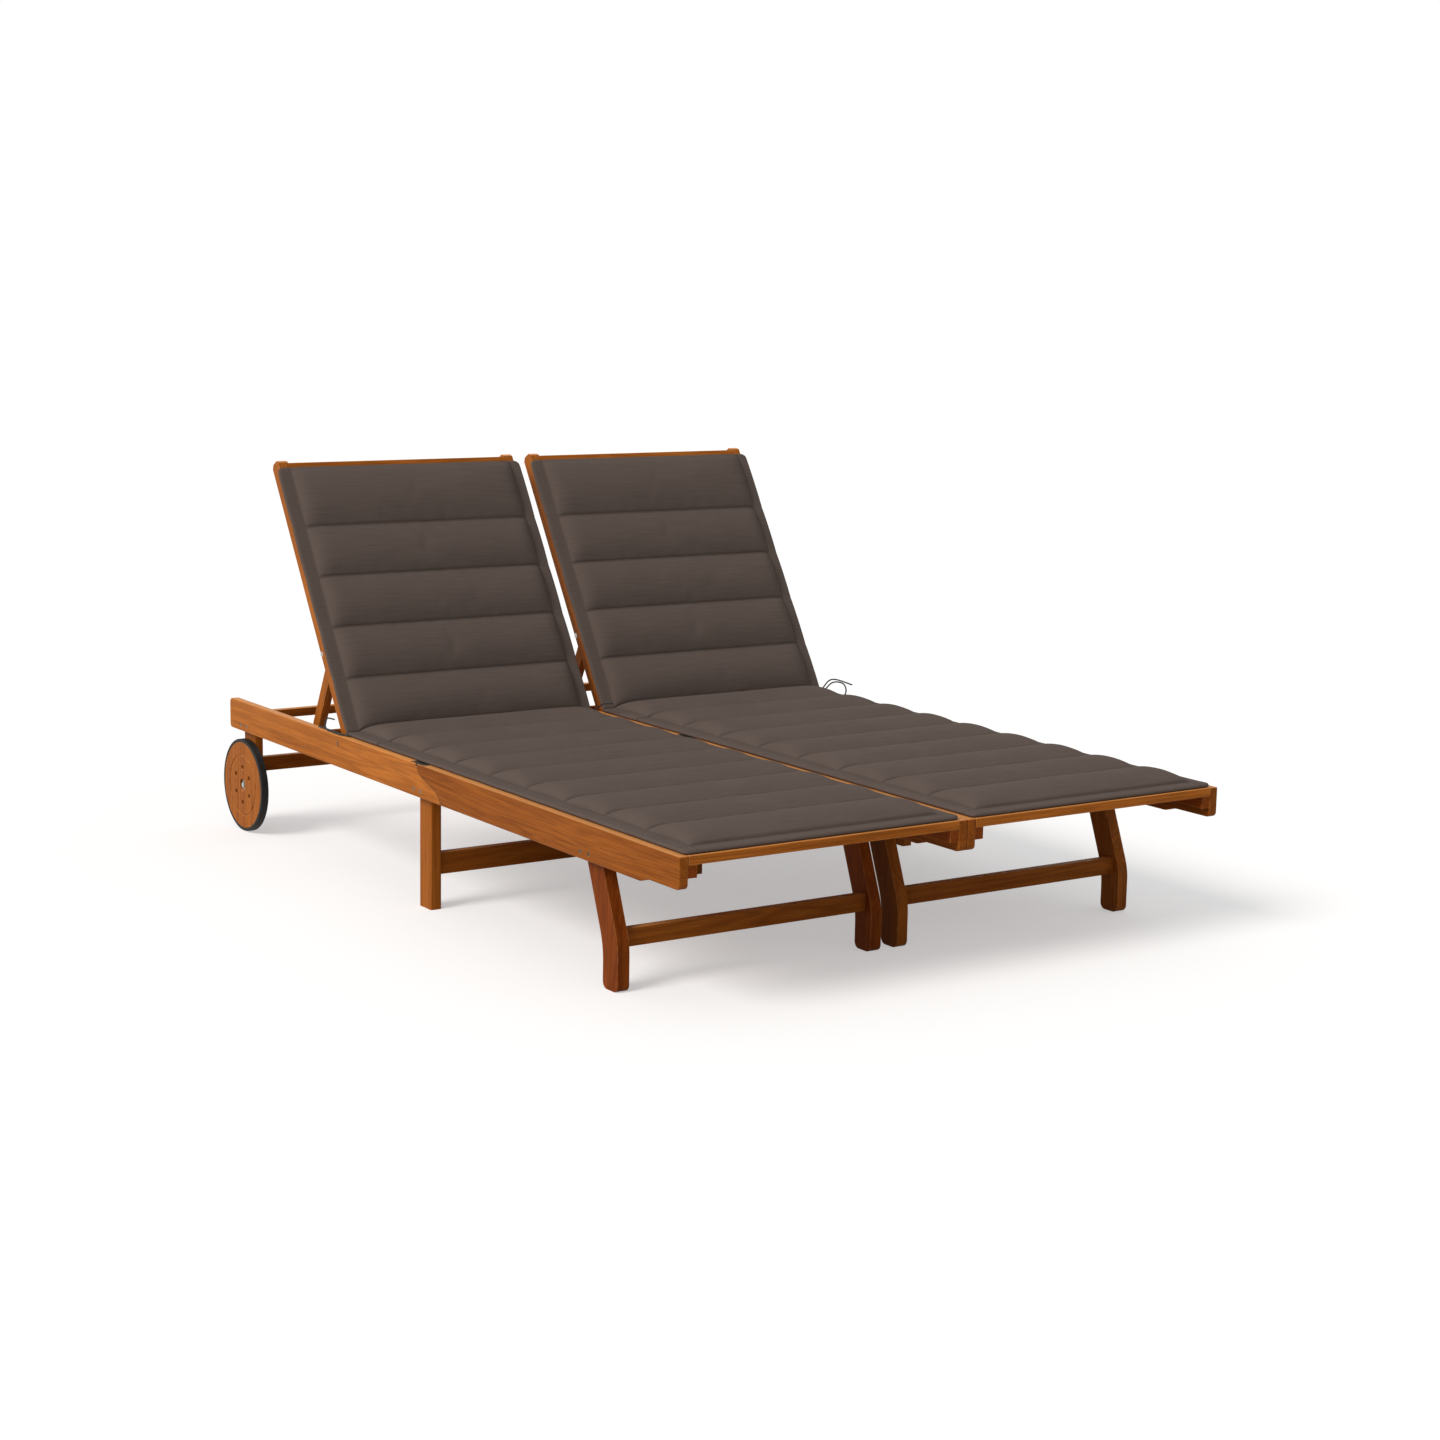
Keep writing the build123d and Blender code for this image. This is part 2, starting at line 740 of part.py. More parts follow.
def wheel_disc(side):
    x_from, x_to = wheel_span(side)
    radius = wheel_radius - tyre_thickness
    disc = rod_x(x_from, x_to, axle_y, axle_z, radius)
    disc = chamfer(disc.edges().filter_by(GeomType.CIRCLE), wheel_edge / 2)
    disc -= rod_x(x_from, x_to, axle_y, axle_z, axle_radius + bore_gap)
    for i in range(wheel_hole_count):
        turn = math.radians(360 / wheel_hole_count * i + 360 / wheel_hole_count / 2)
        y = axle_y + wheel_hole_circle_share * wheel_radius * math.cos(turn)
        z = axle_z + wheel_hole_circle_share * wheel_radius * math.sin(turn)
        disc -= rod_x(x_from, x_to, y, z, wheel_hole_radius)
    outside = side * (half_width - wheel_inset)
    recess = outside - side * hub_recess_depth
    groove = outside - side * wheel_groove_depth
    disc -= rod_x(min(outside, recess), max(outside, recess), axle_y, axle_z, hub_recess_radius)
    rim = wheel_groove_share * wheel_radius
    ring = rod_x(min(outside, groove), max(outside, groove), axle_y, axle_z, rim)
    inner = rim - wheel_groove_width
    ring -= rod_x(x_from, x_to, axle_y, axle_z, inner)
    return disc - ring


def tyre(side):
    x_from, x_to = wheel_span(side)
    ring = rod_x(x_from, x_to, axle_y, axle_z, wheel_radius)
    ring = fillet(ring.edges().filter_by(GeomType.CIRCLE), tyre_round)
    return ring - rod_x(x_from, x_to, axle_y, axle_z, wheel_radius - tyre_thickness)


def hexagon_x(x_from, x_to, y, z, radius):
    face = Plane.YZ * RegularPolygon(radius, 6)
    return Pos(x_from, y, z) * extrude(face, amount=x_to - x_from)


def wheel_bolt(side):
    """Axle bolt: head and washer in the wheel's recess, spacer and nut at the leg."""
    floor = half_width - wheel_inset - hub_recess_depth + running_gap
    leg_inside = rail_inside - rear_leg_thickness
    spacer_end = half_width - wheel_inset - wheel_width - running_gap
    washer_from, washer_to = on_side(side, floor, floor + axle_washer_thickness)
    head_from, head_to = on_side(side, floor + axle_washer_thickness, floor + axle_head_height)
    shank_from, shank_to = on_side(side, leg_inside - axle_nut_height, floor + axle_washer_thickness)
    nut_from, nut_to = on_side(side, leg_inside - axle_nut_height, leg_inside)
    spacer_from, spacer_to = on_side(side, rail_inside, spacer_end)
    bolt = rod_x(shank_from, shank_to, axle_y, axle_z, axle_radius)
    bolt += rod_x(washer_from, washer_to, axle_y, axle_z, axle_washer_radius)
    bolt += rod_x(spacer_from, spacer_to, axle_y, axle_z, spacer_radius)
    bolt += hexagon_x(head_from, head_to, axle_y, axle_z, axle_head_radius)
    return bolt + hexagon_x(nut_from, nut_to, axle_y, axle_z, axle_nut_radius)


# Cushions: one long quilted pad in three lengths, so that it can fold with the frame


def channel_arcs(seams):
    """Arches from seam to seam, each rising to the crown."""
    arcs = []
    for near, far in zip(seams[:-1], seams[1:]):
        start = (near, cushion_seam_height)
        end = (far, cushion_seam_height)
        arcs.append(ThreePointArc(start, ((near + far) / 2, cushion_crown), end))
    return arcs


def long_profile(y_from, y_to, seams, open_start, open_end):
    """Side view of a pad: a flat border at a sewn end, a slope at an open one."""
    arches = channel_arcs(seams)
    start = [(y_from, 0)]
    end = [(y_to, 0)]
    if not open_start:
        start += [(y_from, cushion_border_height), (seams[0], cushion_border_height)]
    if not open_end:
        end = [(seams[-1], cushion_border_height), (y_to, cushion_border_height)] + end
    lines = [Polyline(*start, (seams[0], cushion_seam_height)), *arches]
    lines.append(Polyline((seams[-1], cushion_seam_height), *end))
    lines.append(Line((y_to, 0), (y_from, 0)))
    return make_face([edge for line in lines for edge in line.edges()])


def cross_profile():
    """End view of a pad: flat borders, and sides that round up to the crown."""
    inner = cushion_half - cushion_border
    roll = inner - cushion_roll
    bend = (inner - cushion_roll / 4, (cushion_border_height + 2 * cushion_side_crown) / 3)
    crown = cushion_crown + (cushion_crown - cushion_side_crown) / 2
    lines = [Line((-cushion_half, 0), (cushion_half, 0))]
    for side in (1, -1):
        edge = side * cushion_half
        step = side * inner
        top = (side * roll, cushion_side_crown)
        lines.append(Polyline((edge, 0), (edge, cushion_border_height), (step, cushion_border_height)))
        lines.append(ThreePointArc((step, cushion_border_height), (side * bend[0], bend[1]), top))
    lines.append(ThreePointArc((roll, cushion_side_crown), (0, crown), (-roll, cushion_side_crown)))
    return make_face([edge for line in lines for edge in line.edges()])


def pad_plan(y_from, y_to, seams, open_start, open_end):
    """Plan of a pad: its sides are drawn in at each seam."""
    stops = [y_from, *seams[1:-1], y_to]
    drawn = cushion_half - cushion_side_draw
    lines = [Line((-drawn, y_from), (drawn, y_from)), Line((-drawn, y_to), (drawn, y_to))]
    for near, far in zip(stops[:-1], stops[1:]):
        for side in (1, -1):
            middle = (side * cushion_half, (near + far) / 2)
            lines.append(ThreePointArc((side * drawn, near), middle, (side * drawn, far)))
    plan = make_face([edge for line in lines for edge in line.edges()])
    rows = plan.vertices().group_by(Axis.Y)
    corners = [] if open_start else list(rows[0])
    corners += [] if open_end else list(rows[-1])
    return fillet(corners, cushion_corner) if corners else plan


def quilted(y_from, y_to, seams, open_start, open_end):
    """A quilted pad lying on Z = 0: side view, end view and plan, intersected."""
    side_view = long_profile(y_from, y_to, seams, open_start, open_end)
    long_solid = between_x(side_view, -cushion_half, cushion_half)
    end_view = Plane.XZ * cross_profile()
    cross_solid = Pos(0, y_to, 0) * extrude(end_view, amount=y_to - y_from)
    plan = pad_plan(y_from, y_to, seams, open_start, open_end)
    plan_solid = extrude(plan, amount=cushion_crown + cut_overrun)
    return long_solid & cross_solid & plan_solid


def even_seams(start, end, count):
    pitch = (end - start) / count
    return [start + i * pitch for i in range(count + 1)]


crease_run = cushion_seam_height / math.tan(math.radians(crease_shoulder))


def foot_cushion():
    front = foot_end + cushion_front_from_foot
    back = fold_y - fold_end_gap
    seams = even_seams(front + cushion_border, back - cushion_seam_height, foot_channel_count)
    pad = quilted(front, back, seams, False, True)
    return Pos(0, 0, seat_height + cushion_lift) * pad


def seat_cushion():
    front = fold_y + fold_end_gap
    back = pivot_y - seat_end_from_pivot
    seams = even_seams(front + cushion_seam_height, back - crease_run, seat_channel_count)
    pad = quilted(front, back, seams, True, True)
    return Pos(0, 0, seat_height + cushion_lift) * pad


def back_cushion():
    seams = even_seams(back_start + crease_run, back_cushion_end - cushion_border, back_channel_count)
    pad = quilted(back_start, back_cushion_end, seams, True, False)
    return in_back_frame(Pos(0, 0, back_top + cushion_lift) * pad)


# Ties


def tie(side, route):
    """One free strand: straight runs joined by arcs as large as the runs allow."""
    points = []
    for inward, onward, up in route:
        points.append(Vector(side * (half_width - inward), pivot_y + onward, seat_height + up))
    runs = [far - near for near, far in zip(points[:-1], points[1:])]
    radii = []
    for before, after in zip(runs[:-1], runs[1:]):
        half_turn = math.radians(before.get_angle(after) / 2)
        radii.append(tie_run_share * min(before.length, after.length) / math.tan(half_turn))
    path = FilletPolyline(*points, radius=radii)
    start = Plane(origin=points[0], z_dir=runs[0])
    strand = sweep(start * Circle(tie_radius), path=path)
    section = math.pi * tie_radius ** 2
    print(f"tie length {path.length:.1f}, least radius {min(radii):.1f}")
    print(f"tie volume by section and length {strand.volume / (section * path.length):.4f}")
    return strand


tie_run_share = 0.45


def joining_bolt(y):
    """Bolt through the two inner rails, with a head in one lounger and a nut in the other."""
    reach = rail_thickness + lounger_gap / 2
    bolt = rod_x(-reach, reach, y, joining_z, joining_bolt_radius)
    bolt += rod_x(-reach - joining_head_height, -reach, y, joining_z, joining_head_radius)
    return bolt + rod_x(reach, reach + joining_head_height, y, joining_z, joining_head_radius)


def build():
    os.makedirs("parts", exist_ok=True)
    sides = {"left": -1, "right": 1}
    shared = {}

    def place(side_sign, pieces):
        move = Pos(side_sign * lounger_centre, 0, 0)
        return [move * piece for piece in pieces]

    def add_shared(name, side_sign, pieces):
        shared.setdefault(name, []).extend(place(side_sign, pieces))

    for name, sign in sides.items():
        outer, inner = sign, -sign

        def keep(node, pieces):
            placed = place(sign, pieces)
            save(f"{name}_{node}", placed[0] if len(placed) == 1 else Compound(children=placed))

        keep("outer_head_rail", [head_rail(outer, False)])
        keep("inner_head_rail", [head_rail(inner, True)])
        keep("mid_legs", both(mid_leg))
        keep("rear_legs", both(rear_leg))
        keep("seat_cushion", [seat_cushion()])
        keep("outer_foot_rail", [foot_rail(outer)])
        keep("inner_foot_rail", [foot_rail(inner)])
        keep("front_legs", both(front_leg))
        keep("front_stretcher", [front_stretcher()])
        keep("foot_battens", foot_battens())
        keep("foot_slats", foot_slats())
        keep("foot_screws", [screw(side, y) for side in (-1, 1) for y in screw_places("front")])
        keep("foot_hinge_leaves", both(moving_leaf))
        keep("foot_cushion", [foot_cushion()])
        keep("back_stiles", both(stile))
        keep("back_top_rail", [back_top_rail()])
        keep("back_slats", back_slats())
        keep("back_cushion", [back_cushion()])
        keep("prop_bolts", both(prop_bolt))
        keep("prop_frame", both(strut) + [prop_bar()])
        for place_name, side in (("outer", outer), ("inner", inner)):
            keep(f"{place_name}_wheel", [wheel_disc(side)])
            keep(f"{place_name}_tyre", [tyre(side)])
        add_shared("leg_stretchers", sign, [mid_stretcher(), rear_stretcher()])
        add_shared("head_crossbars", sign, [head_crossbar()])
        add_shared("seat_battens", sign, head_battens())
        add_shared("seat_slats", sign, head_slats())
        add_shared("prop_ladders", sign, both(ladder))
        leg_screws = screw_places("mid") + screw_places("rear")
        add_shared("frame_screws", sign, [screw(side, y) for side in (-1, 1) for y in leg_screws])
        add_shared("wheel_bolts", sign, both(wheel_bolt))
        add_shared("backrest_pivot_bolts", sign, both(pivot_bolt))
        add_shared("fixed_hinge_leaves", sign, both(fixed_leaf))
    left_strands = [tie(-1, outer_left_loop), tie(-1, outer_left_tail)]
    left_strands += [tie(1, inner_left_loop), tie(1, inner_left_tail)]
    right_strands = [tie(1, outer_right_loop), tie(1, outer_right_tail)]
    save("left_cushion_ties", Compound(children=place(-1, left_strands)))
    save("right_cushion_ties", Compound(children=place(1, right_strands)))
    shared["joining_bolts"] = [joining_bolt(y) for y in joining_places]
    for node, pieces in shared.items():
        save(node, Compound(children=pieces))


build()
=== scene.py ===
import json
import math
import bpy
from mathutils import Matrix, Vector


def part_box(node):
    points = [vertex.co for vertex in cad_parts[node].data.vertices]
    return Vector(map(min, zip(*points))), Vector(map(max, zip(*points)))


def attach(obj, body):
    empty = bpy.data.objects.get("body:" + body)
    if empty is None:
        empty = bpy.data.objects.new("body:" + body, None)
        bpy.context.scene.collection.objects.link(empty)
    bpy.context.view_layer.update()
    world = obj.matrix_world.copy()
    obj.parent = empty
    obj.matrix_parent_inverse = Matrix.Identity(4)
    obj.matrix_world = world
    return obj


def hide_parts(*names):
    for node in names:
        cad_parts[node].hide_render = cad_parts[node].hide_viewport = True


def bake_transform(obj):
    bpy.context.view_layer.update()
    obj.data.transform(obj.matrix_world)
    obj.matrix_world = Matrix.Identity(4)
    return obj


bl_info = {
    "name": "Double chaise lounger",
    "version": (1, 0, 0),
    "blender": (4, 5, 0),
    "location": "View3D > Sidebar > Lounger",
    "description": "Cushions, ties, screws and finishes for a double wooden chaise lounger",
    "category": "Object",
}

import bpy
from mathutils import Matrix, Vector

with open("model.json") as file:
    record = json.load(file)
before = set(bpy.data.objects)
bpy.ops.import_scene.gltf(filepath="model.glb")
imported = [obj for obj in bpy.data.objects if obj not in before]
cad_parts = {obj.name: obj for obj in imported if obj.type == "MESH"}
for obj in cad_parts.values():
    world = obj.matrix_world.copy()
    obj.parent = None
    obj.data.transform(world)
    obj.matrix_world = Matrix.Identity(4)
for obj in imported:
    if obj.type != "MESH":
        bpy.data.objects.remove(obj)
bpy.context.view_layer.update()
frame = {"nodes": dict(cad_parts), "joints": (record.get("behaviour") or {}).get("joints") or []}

SIDES = {"left": -1, "right": 1}
JOINTS = {joint["name"]: joint for joint in frame["joints"]}
FOLD = Vector(JOINTS["left_fold"]["pos_m"])
PIVOT = Vector(JOINTS["left_recline"]["pos_m"])
BACK_ANGLE = math.radians(58)
CENTRE = abs(PIVOT.x)
RAIL_LOW, RAIL_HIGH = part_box("left_outer_head_rail")
RAIL_TOP = RAIL_HIGH.z
RAIL_DEPTH = RAIL_HIGH.z - RAIL_LOW.z
HALF_WIDTH = abs(RAIL_LOW.x) - CENTRE
FOOT_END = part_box("left_outer_foot_rail")[0].y


# Small helpers


def deselect():
    if bpy.context.object and bpy.context.object.mode != "OBJECT":
        bpy.ops.object.mode_set(mode="OBJECT")
    bpy.ops.object.select_all(action="DESELECT")


def pick_more(obj):
    obj.select_set(True)
    bpy.context.view_layer.objects.active = obj


def pick(obj):
    deselect()
    pick_more(obj)


def set_all(target, **values):
    for key, value in values.items():
        setattr(target, key, value)


def apply_modifier(obj, kind, name, **values):
    pick(obj)
    set_all(obj.modifiers.new(name, kind), **values)
    bpy.ops.object.modifier_apply(modifier=name)


def add_object(name, data):
    obj = bpy.data.objects.new(name, data)
    bpy.context.scene.collection.objects.link(obj)
    return obj


def add_mesh(name, points, faces):
    mesh = bpy.data.meshes.new(name)
    mesh.from_pydata(points, [], faces)
    return add_object(name, mesh)


def settings():
    return bpy.context.scene.lounger_looks


# Shader node groups


def add_group(name, inputs, outputs):
    tree = bpy.data.node_groups.new(name, "ShaderNodeTree")
    for label, kind, value in inputs:
        socket = tree.interface.new_socket(label, in_out="INPUT", socket_type=kind)
        if value is not None:
            socket.default_value = value
    for label, kind in outputs:
        tree.interface.new_socket(label, in_out="OUTPUT", socket_type=kind)
    entry = tree.nodes.new("NodeGroupInput")
    leave = tree.nodes.new("NodeGroupOutput")
    return tree, entry, leave


def feed(tree, target, source):
    """Links a socket to an input, or sets the input's plain value."""
    if isinstance(source, bpy.types.NodeSocket):
        tree.links.new(source, target)
    else:
        target.default_value = source


def wire(tree, node, sources):
    for key, source in sources.items():
        feed(tree, node.inputs[key], source)


def add_node(tree, kind, links=None, **values):
    """A node with its properties, its plain input values, and the sockets that feed it."""
    node = tree.nodes.new(kind)
    set_all(node, **values)
    wire(tree, node, links or {})
    return node


def calc(tree, operation, first, second=0.0, third=0.0, clamp=False):
    links = {0: first, 1: second, 2: third}
    return add_node(tree, "ShaderNodeMath", links, operation=operation, use_clamp=clamp).outputs[0]


def blend_colour(tree, factor, first, second, mode="MIX"):
    node = tree.nodes.new("ShaderNodeMix")
    node.data_type = "RGBA"
    node.blend_type = mode
    for socket, source in (("Factor_Float", factor), ("A_Color", first), ("B_Color", second)):
        feed(tree, next(s for s in node.inputs if s.identifier == socket), source)
    return next(s for s in node.outputs if s.identifier == "Result_Color")


def ramp(tree, factor, stops):
    node = add_node(tree, "ShaderNodeValToRGB", {"Fac": factor})
    elements = node.color_ramp.elements
    while len(elements) < len(stops):
        elements.new(0.5)
    for element, (place, shade) in zip(elements, stops):
        element.position = place
        element.color = (shade, shade, shade, 1)
    return node.outputs["Color"]


def stretched_noise(tree, vector, stretch, scale=1.0, detail=3.0, distortion=0.0):
    place = add_node(tree, "ShaderNodeMapping", {"Vector": vector, "Scale": stretch})
    links = {"Vector": place.outputs[0], "Scale": scale, "Detail": detail, "Distortion": distortion}
    return add_node(tree, "ShaderNodeTexNoise", links).outputs["Fac"]


def wood_grain_group():
    """Streaks and rings along the board. The vector runs along its X with the grain, in metres."""
    tree, entry, leave = add_group(
        "Wood grain",
        [("Vector", "NodeSocketVector", None), ("Light", "NodeSocketColor", (0.6, 0.25, 0.08, 1)),
         ("Dark", "NodeSocketColor", (0.25, 0.08, 0.02, 1)), ("Figure", "NodeSocketFloat", 0.5)],
        [("Color", "NodeSocketColor"), ("Height", "NodeSocketFloat"), ("Rough", "NodeSocketFloat")],
    )
    ring_count, ring_share, streak_share, cloud_share, clear = 46.0, 0.34, 0.55, 0.5, 0.28
    vector = entry.outputs["Vector"]
    streaks = stretched_noise(tree, vector, (2.2, 26.0, 26.0))
    rings = stretched_noise(tree, vector, (0.9, 17.0, 17.0), detail=2.0, distortion=1.4)
    bands = calc(tree, "SINE", calc(tree, "MULTIPLY", rings, ring_count))
    bands = calc(tree, "MULTIPLY_ADD", bands, 0.5, 0.5)
    pores = stretched_noise(tree, vector, (14.0, 620.0, 620.0), detail=4.0)
    pore_mask = ramp(tree, pores, [(0.36, 0.0), (0.52, 1.0)])
    cloud = stretched_noise(tree, vector, (1.1, 5.0, 5.0), scale=1.6, detail=2.0)
    mix = calc(tree, "MULTIPLY", bands, ring_share)
    mix = calc(tree, "ADD", mix, calc(tree, "MULTIPLY", streaks, streak_share))
    mix = calc(tree, "ADD", mix, calc(tree, "MULTIPLY", cloud, cloud_share))
    mix = calc(tree, "SUBTRACT", mix, clear, clamp=True)
    mix = calc(tree, "MULTIPLY", mix, calc(tree, "ADD", entry.outputs["Figure"], 0.5), clamp=True)
    colour = blend_colour(tree, mix, entry.outputs["Light"], entry.outputs["Dark"])
    shade = blend_colour(tree, 0.28, colour, pore_mask, "MULTIPLY")
    height = calc(tree, "ADD", calc(tree, "MULTIPLY", pore_mask, 0.6), calc(tree, "MULTIPLY", bands, 0.25))
    rough = calc(tree, "MULTIPLY_ADD", cloud, 0.25, 0.36)
    wire(tree, leave, {"Color": shade, "Height": height, "Rough": rough})
    return tree


def edge_wear_group():
    """How near a sharp edge is, broken up by noise."""
    tree, entry, leave = add_group(
        "Edge wear",
        [("Vector", "NodeSocketVector", None), ("Radius", "NodeSocketFloat", 0.003)],
        [("Mask", "NodeSocketFloat")],
    )
    rounded = add_node(tree, "ShaderNodeBevel", {"Radius": entry.outputs["Radius"]}, samples=4)
    flat = add_node(tree, "ShaderNodeNewGeometry")
    turn = add_node(
        tree, "ShaderNodeVectorMath",
        {0: rounded.outputs[0], 1: flat.outputs["Normal"]}, operation="DOT_PRODUCT",
    )
    edge = calc(tree, "MULTIPLY", calc(tree, "SUBTRACT", 1.0, turn.outputs["Value"]), 7.0, clamp=True)
    noise = add_node(
        tree, "ShaderNodeTexNoise", {"Vector": entry.outputs["Vector"], "Scale": 55.0, "Detail": 4.0},
    )
    broken = ramp(tree, noise.outputs["Fac"], [(0.34, 0.0), (0.62, 1.0)])
    wire(tree, leave, {"Mask": calc(tree, "MULTIPLY", edge, broken)})
    return tree


def weave_group():
    """Plain weave: threads over and under each other, from a vector in metres."""
    tree, entry, leave = add_group(
        "Weave",
        [("Vector", "NodeSocketVector", None), ("Threads", "NodeSocketFloat", 700.0)],
        [("Height", "NodeSocketFloat"), ("Slub", "NodeSocketFloat")],
    )
    scaled = add_node(
        tree, "ShaderNodeVectorMath",
        {0: entry.outputs["Vector"], "Scale": entry.outputs["Threads"]}, operation="SCALE",
    )
    parts = add_node(tree, "ShaderNodeSeparateXYZ", {0: scaled.outputs[0]})
    across = calc(tree, "SINE", calc(tree, "MULTIPLY", parts.outputs[0], math.pi))
    along = calc(tree, "SINE", calc(tree, "MULTIPLY", parts.outputs[1], math.pi))
    height = calc(tree, "MULTIPLY", across, along)
    slub = stretched_noise(tree, scaled.outputs[0], (0.02, 0.6, 0.1))
    wire(tree, leave, {"Height": height, "Slub": slub})
    return tree


def dust_group():
    """Soft uneven patches, for dust and handling."""
    tree, entry, leave = add_group(
        "Patches",
        [("Vector", "NodeSocketVector", None), ("Scale", "NodeSocketFloat", 6.0)],
        [("Mask", "NodeSocketFloat")],
    )
    noise = add_node(
        tree, "ShaderNodeTexNoise",
        {"Vector": entry.outputs["Vector"], "Scale": entry.outputs["Scale"], "Detail": 5.0, "Roughness": 0.6},
    )
    wire(tree, leave, {"Mask": ramp(tree, noise.outputs["Fac"], [(0.4, 0.0), (0.7, 1.0)])})
    return tree


GROUP_MAKERS = {
    "Wood grain": wood_grain_group, "Edge wear": edge_wear_group,
    "Weave": weave_group, "Patches": dust_group,
}


def use_group(tree, name, links=None):
    group = bpy.data.node_groups.get(name) or GROUP_MAKERS[name]()
    return add_node(tree, "ShaderNodeGroup", links, node_tree=group)


# Materials


def new_material(name):
    material = bpy.data.materials.new(name)
    material.use_nodes = True
    tree = material.node_tree
    tree.nodes.clear()
    out = tree.nodes.new("ShaderNodeOutputMaterial")
    shader = tree.nodes.new("ShaderNodeBsdfPrincipled")
    tree.links.new(shader.outputs[0], out.inputs["Surface"])
    return material, tree, shader


def add_bump(tree, shader, height, strength, distance):
    bump = add_node(tree, "ShaderNodeBump", {"Height": height, "Strength": strength, "Distance": distance})
    wire(tree, shader, {"Normal": bump.outputs[0]})


def object_place(tree):
    return add_node(tree, "ShaderNodeTexCoord").outputs["Object"]


def patch_mask(tree, place, scale):
    return use_group(tree, "Patches", {"Vector": place, "Scale": scale}).outputs["Mask"]


def rgb(colour):
    return (colour[0], colour[1], colour[2], 1.0)


NOSE_REACH = 0.106
JOINT_HALF_WIDTH = 0.0021
NOSE = [(0.0, 0.0), (0.22, 0.09), (0.36, 0.25), (0.49, 0.53), (0.62, 0.77), (0.77, 0.92), (1.0, 1.0)]


def nose_place(tree, depth):
    """How far towards the foot the curved joint of the rails lies, at a share of their depth."""
    node = add_node(tree, "ShaderNodeFloatCurve", {"Value": depth})
    curve = node.mapping.curves[0]
    curve.points[0].location = NOSE[0]
    curve.points[1].location = NOSE[-1]
    for point in NOSE[1:-1]:
        curve.points.new(*point)
    node.mapping.update()
    return calc(tree, "MULTIPLY", node.outputs[0], NOSE_REACH)


def joint_gap_shade(tree, position, facing):
    """A painted dark line, standing in for the shade in the gap where the head rail's curved nose meets the
    foot rail.
    """
    parts = add_node(tree, "ShaderNodeSeparateXYZ", {0: position})
    depth = calc(tree, "DIVIDE", calc(tree, "SUBTRACT", RAIL_TOP, parts.outputs[2]), RAIL_DEPTH)
    step = 0.04
    here = nose_place(tree, depth)
    lower = nose_place(tree, calc(tree, "ADD", depth, step))
    upper = nose_place(tree, calc(tree, "SUBTRACT", depth, step))
    slope = calc(tree, "DIVIDE", calc(tree, "SUBTRACT", lower, upper), 2 * step * RAIL_DEPTH)
    lean = calc(tree, "SQRT", calc(tree, "ADD", calc(tree, "MULTIPLY", slope, slope), 1.0))
    joint = calc(tree, "SUBTRACT", FOLD.y, here)
    off = calc(tree, "ABSOLUTE", calc(tree, "SUBTRACT", joint, parts.outputs[1]))
    away = calc(tree, "DIVIDE", calc(tree, "DIVIDE", off, lean), JOINT_HALF_WIDTH)
    near = calc(tree, "SUBTRACT", 1.0, away, clamp=True)
    side = add_node(tree, "ShaderNodeSeparateXYZ", {0: facing})
    flat = calc(tree, "GREATER_THAN", calc(tree, "ABSOLUTE", side.outputs[0]), 0.8)
    return calc(tree, "MULTIPLY", near, flat)


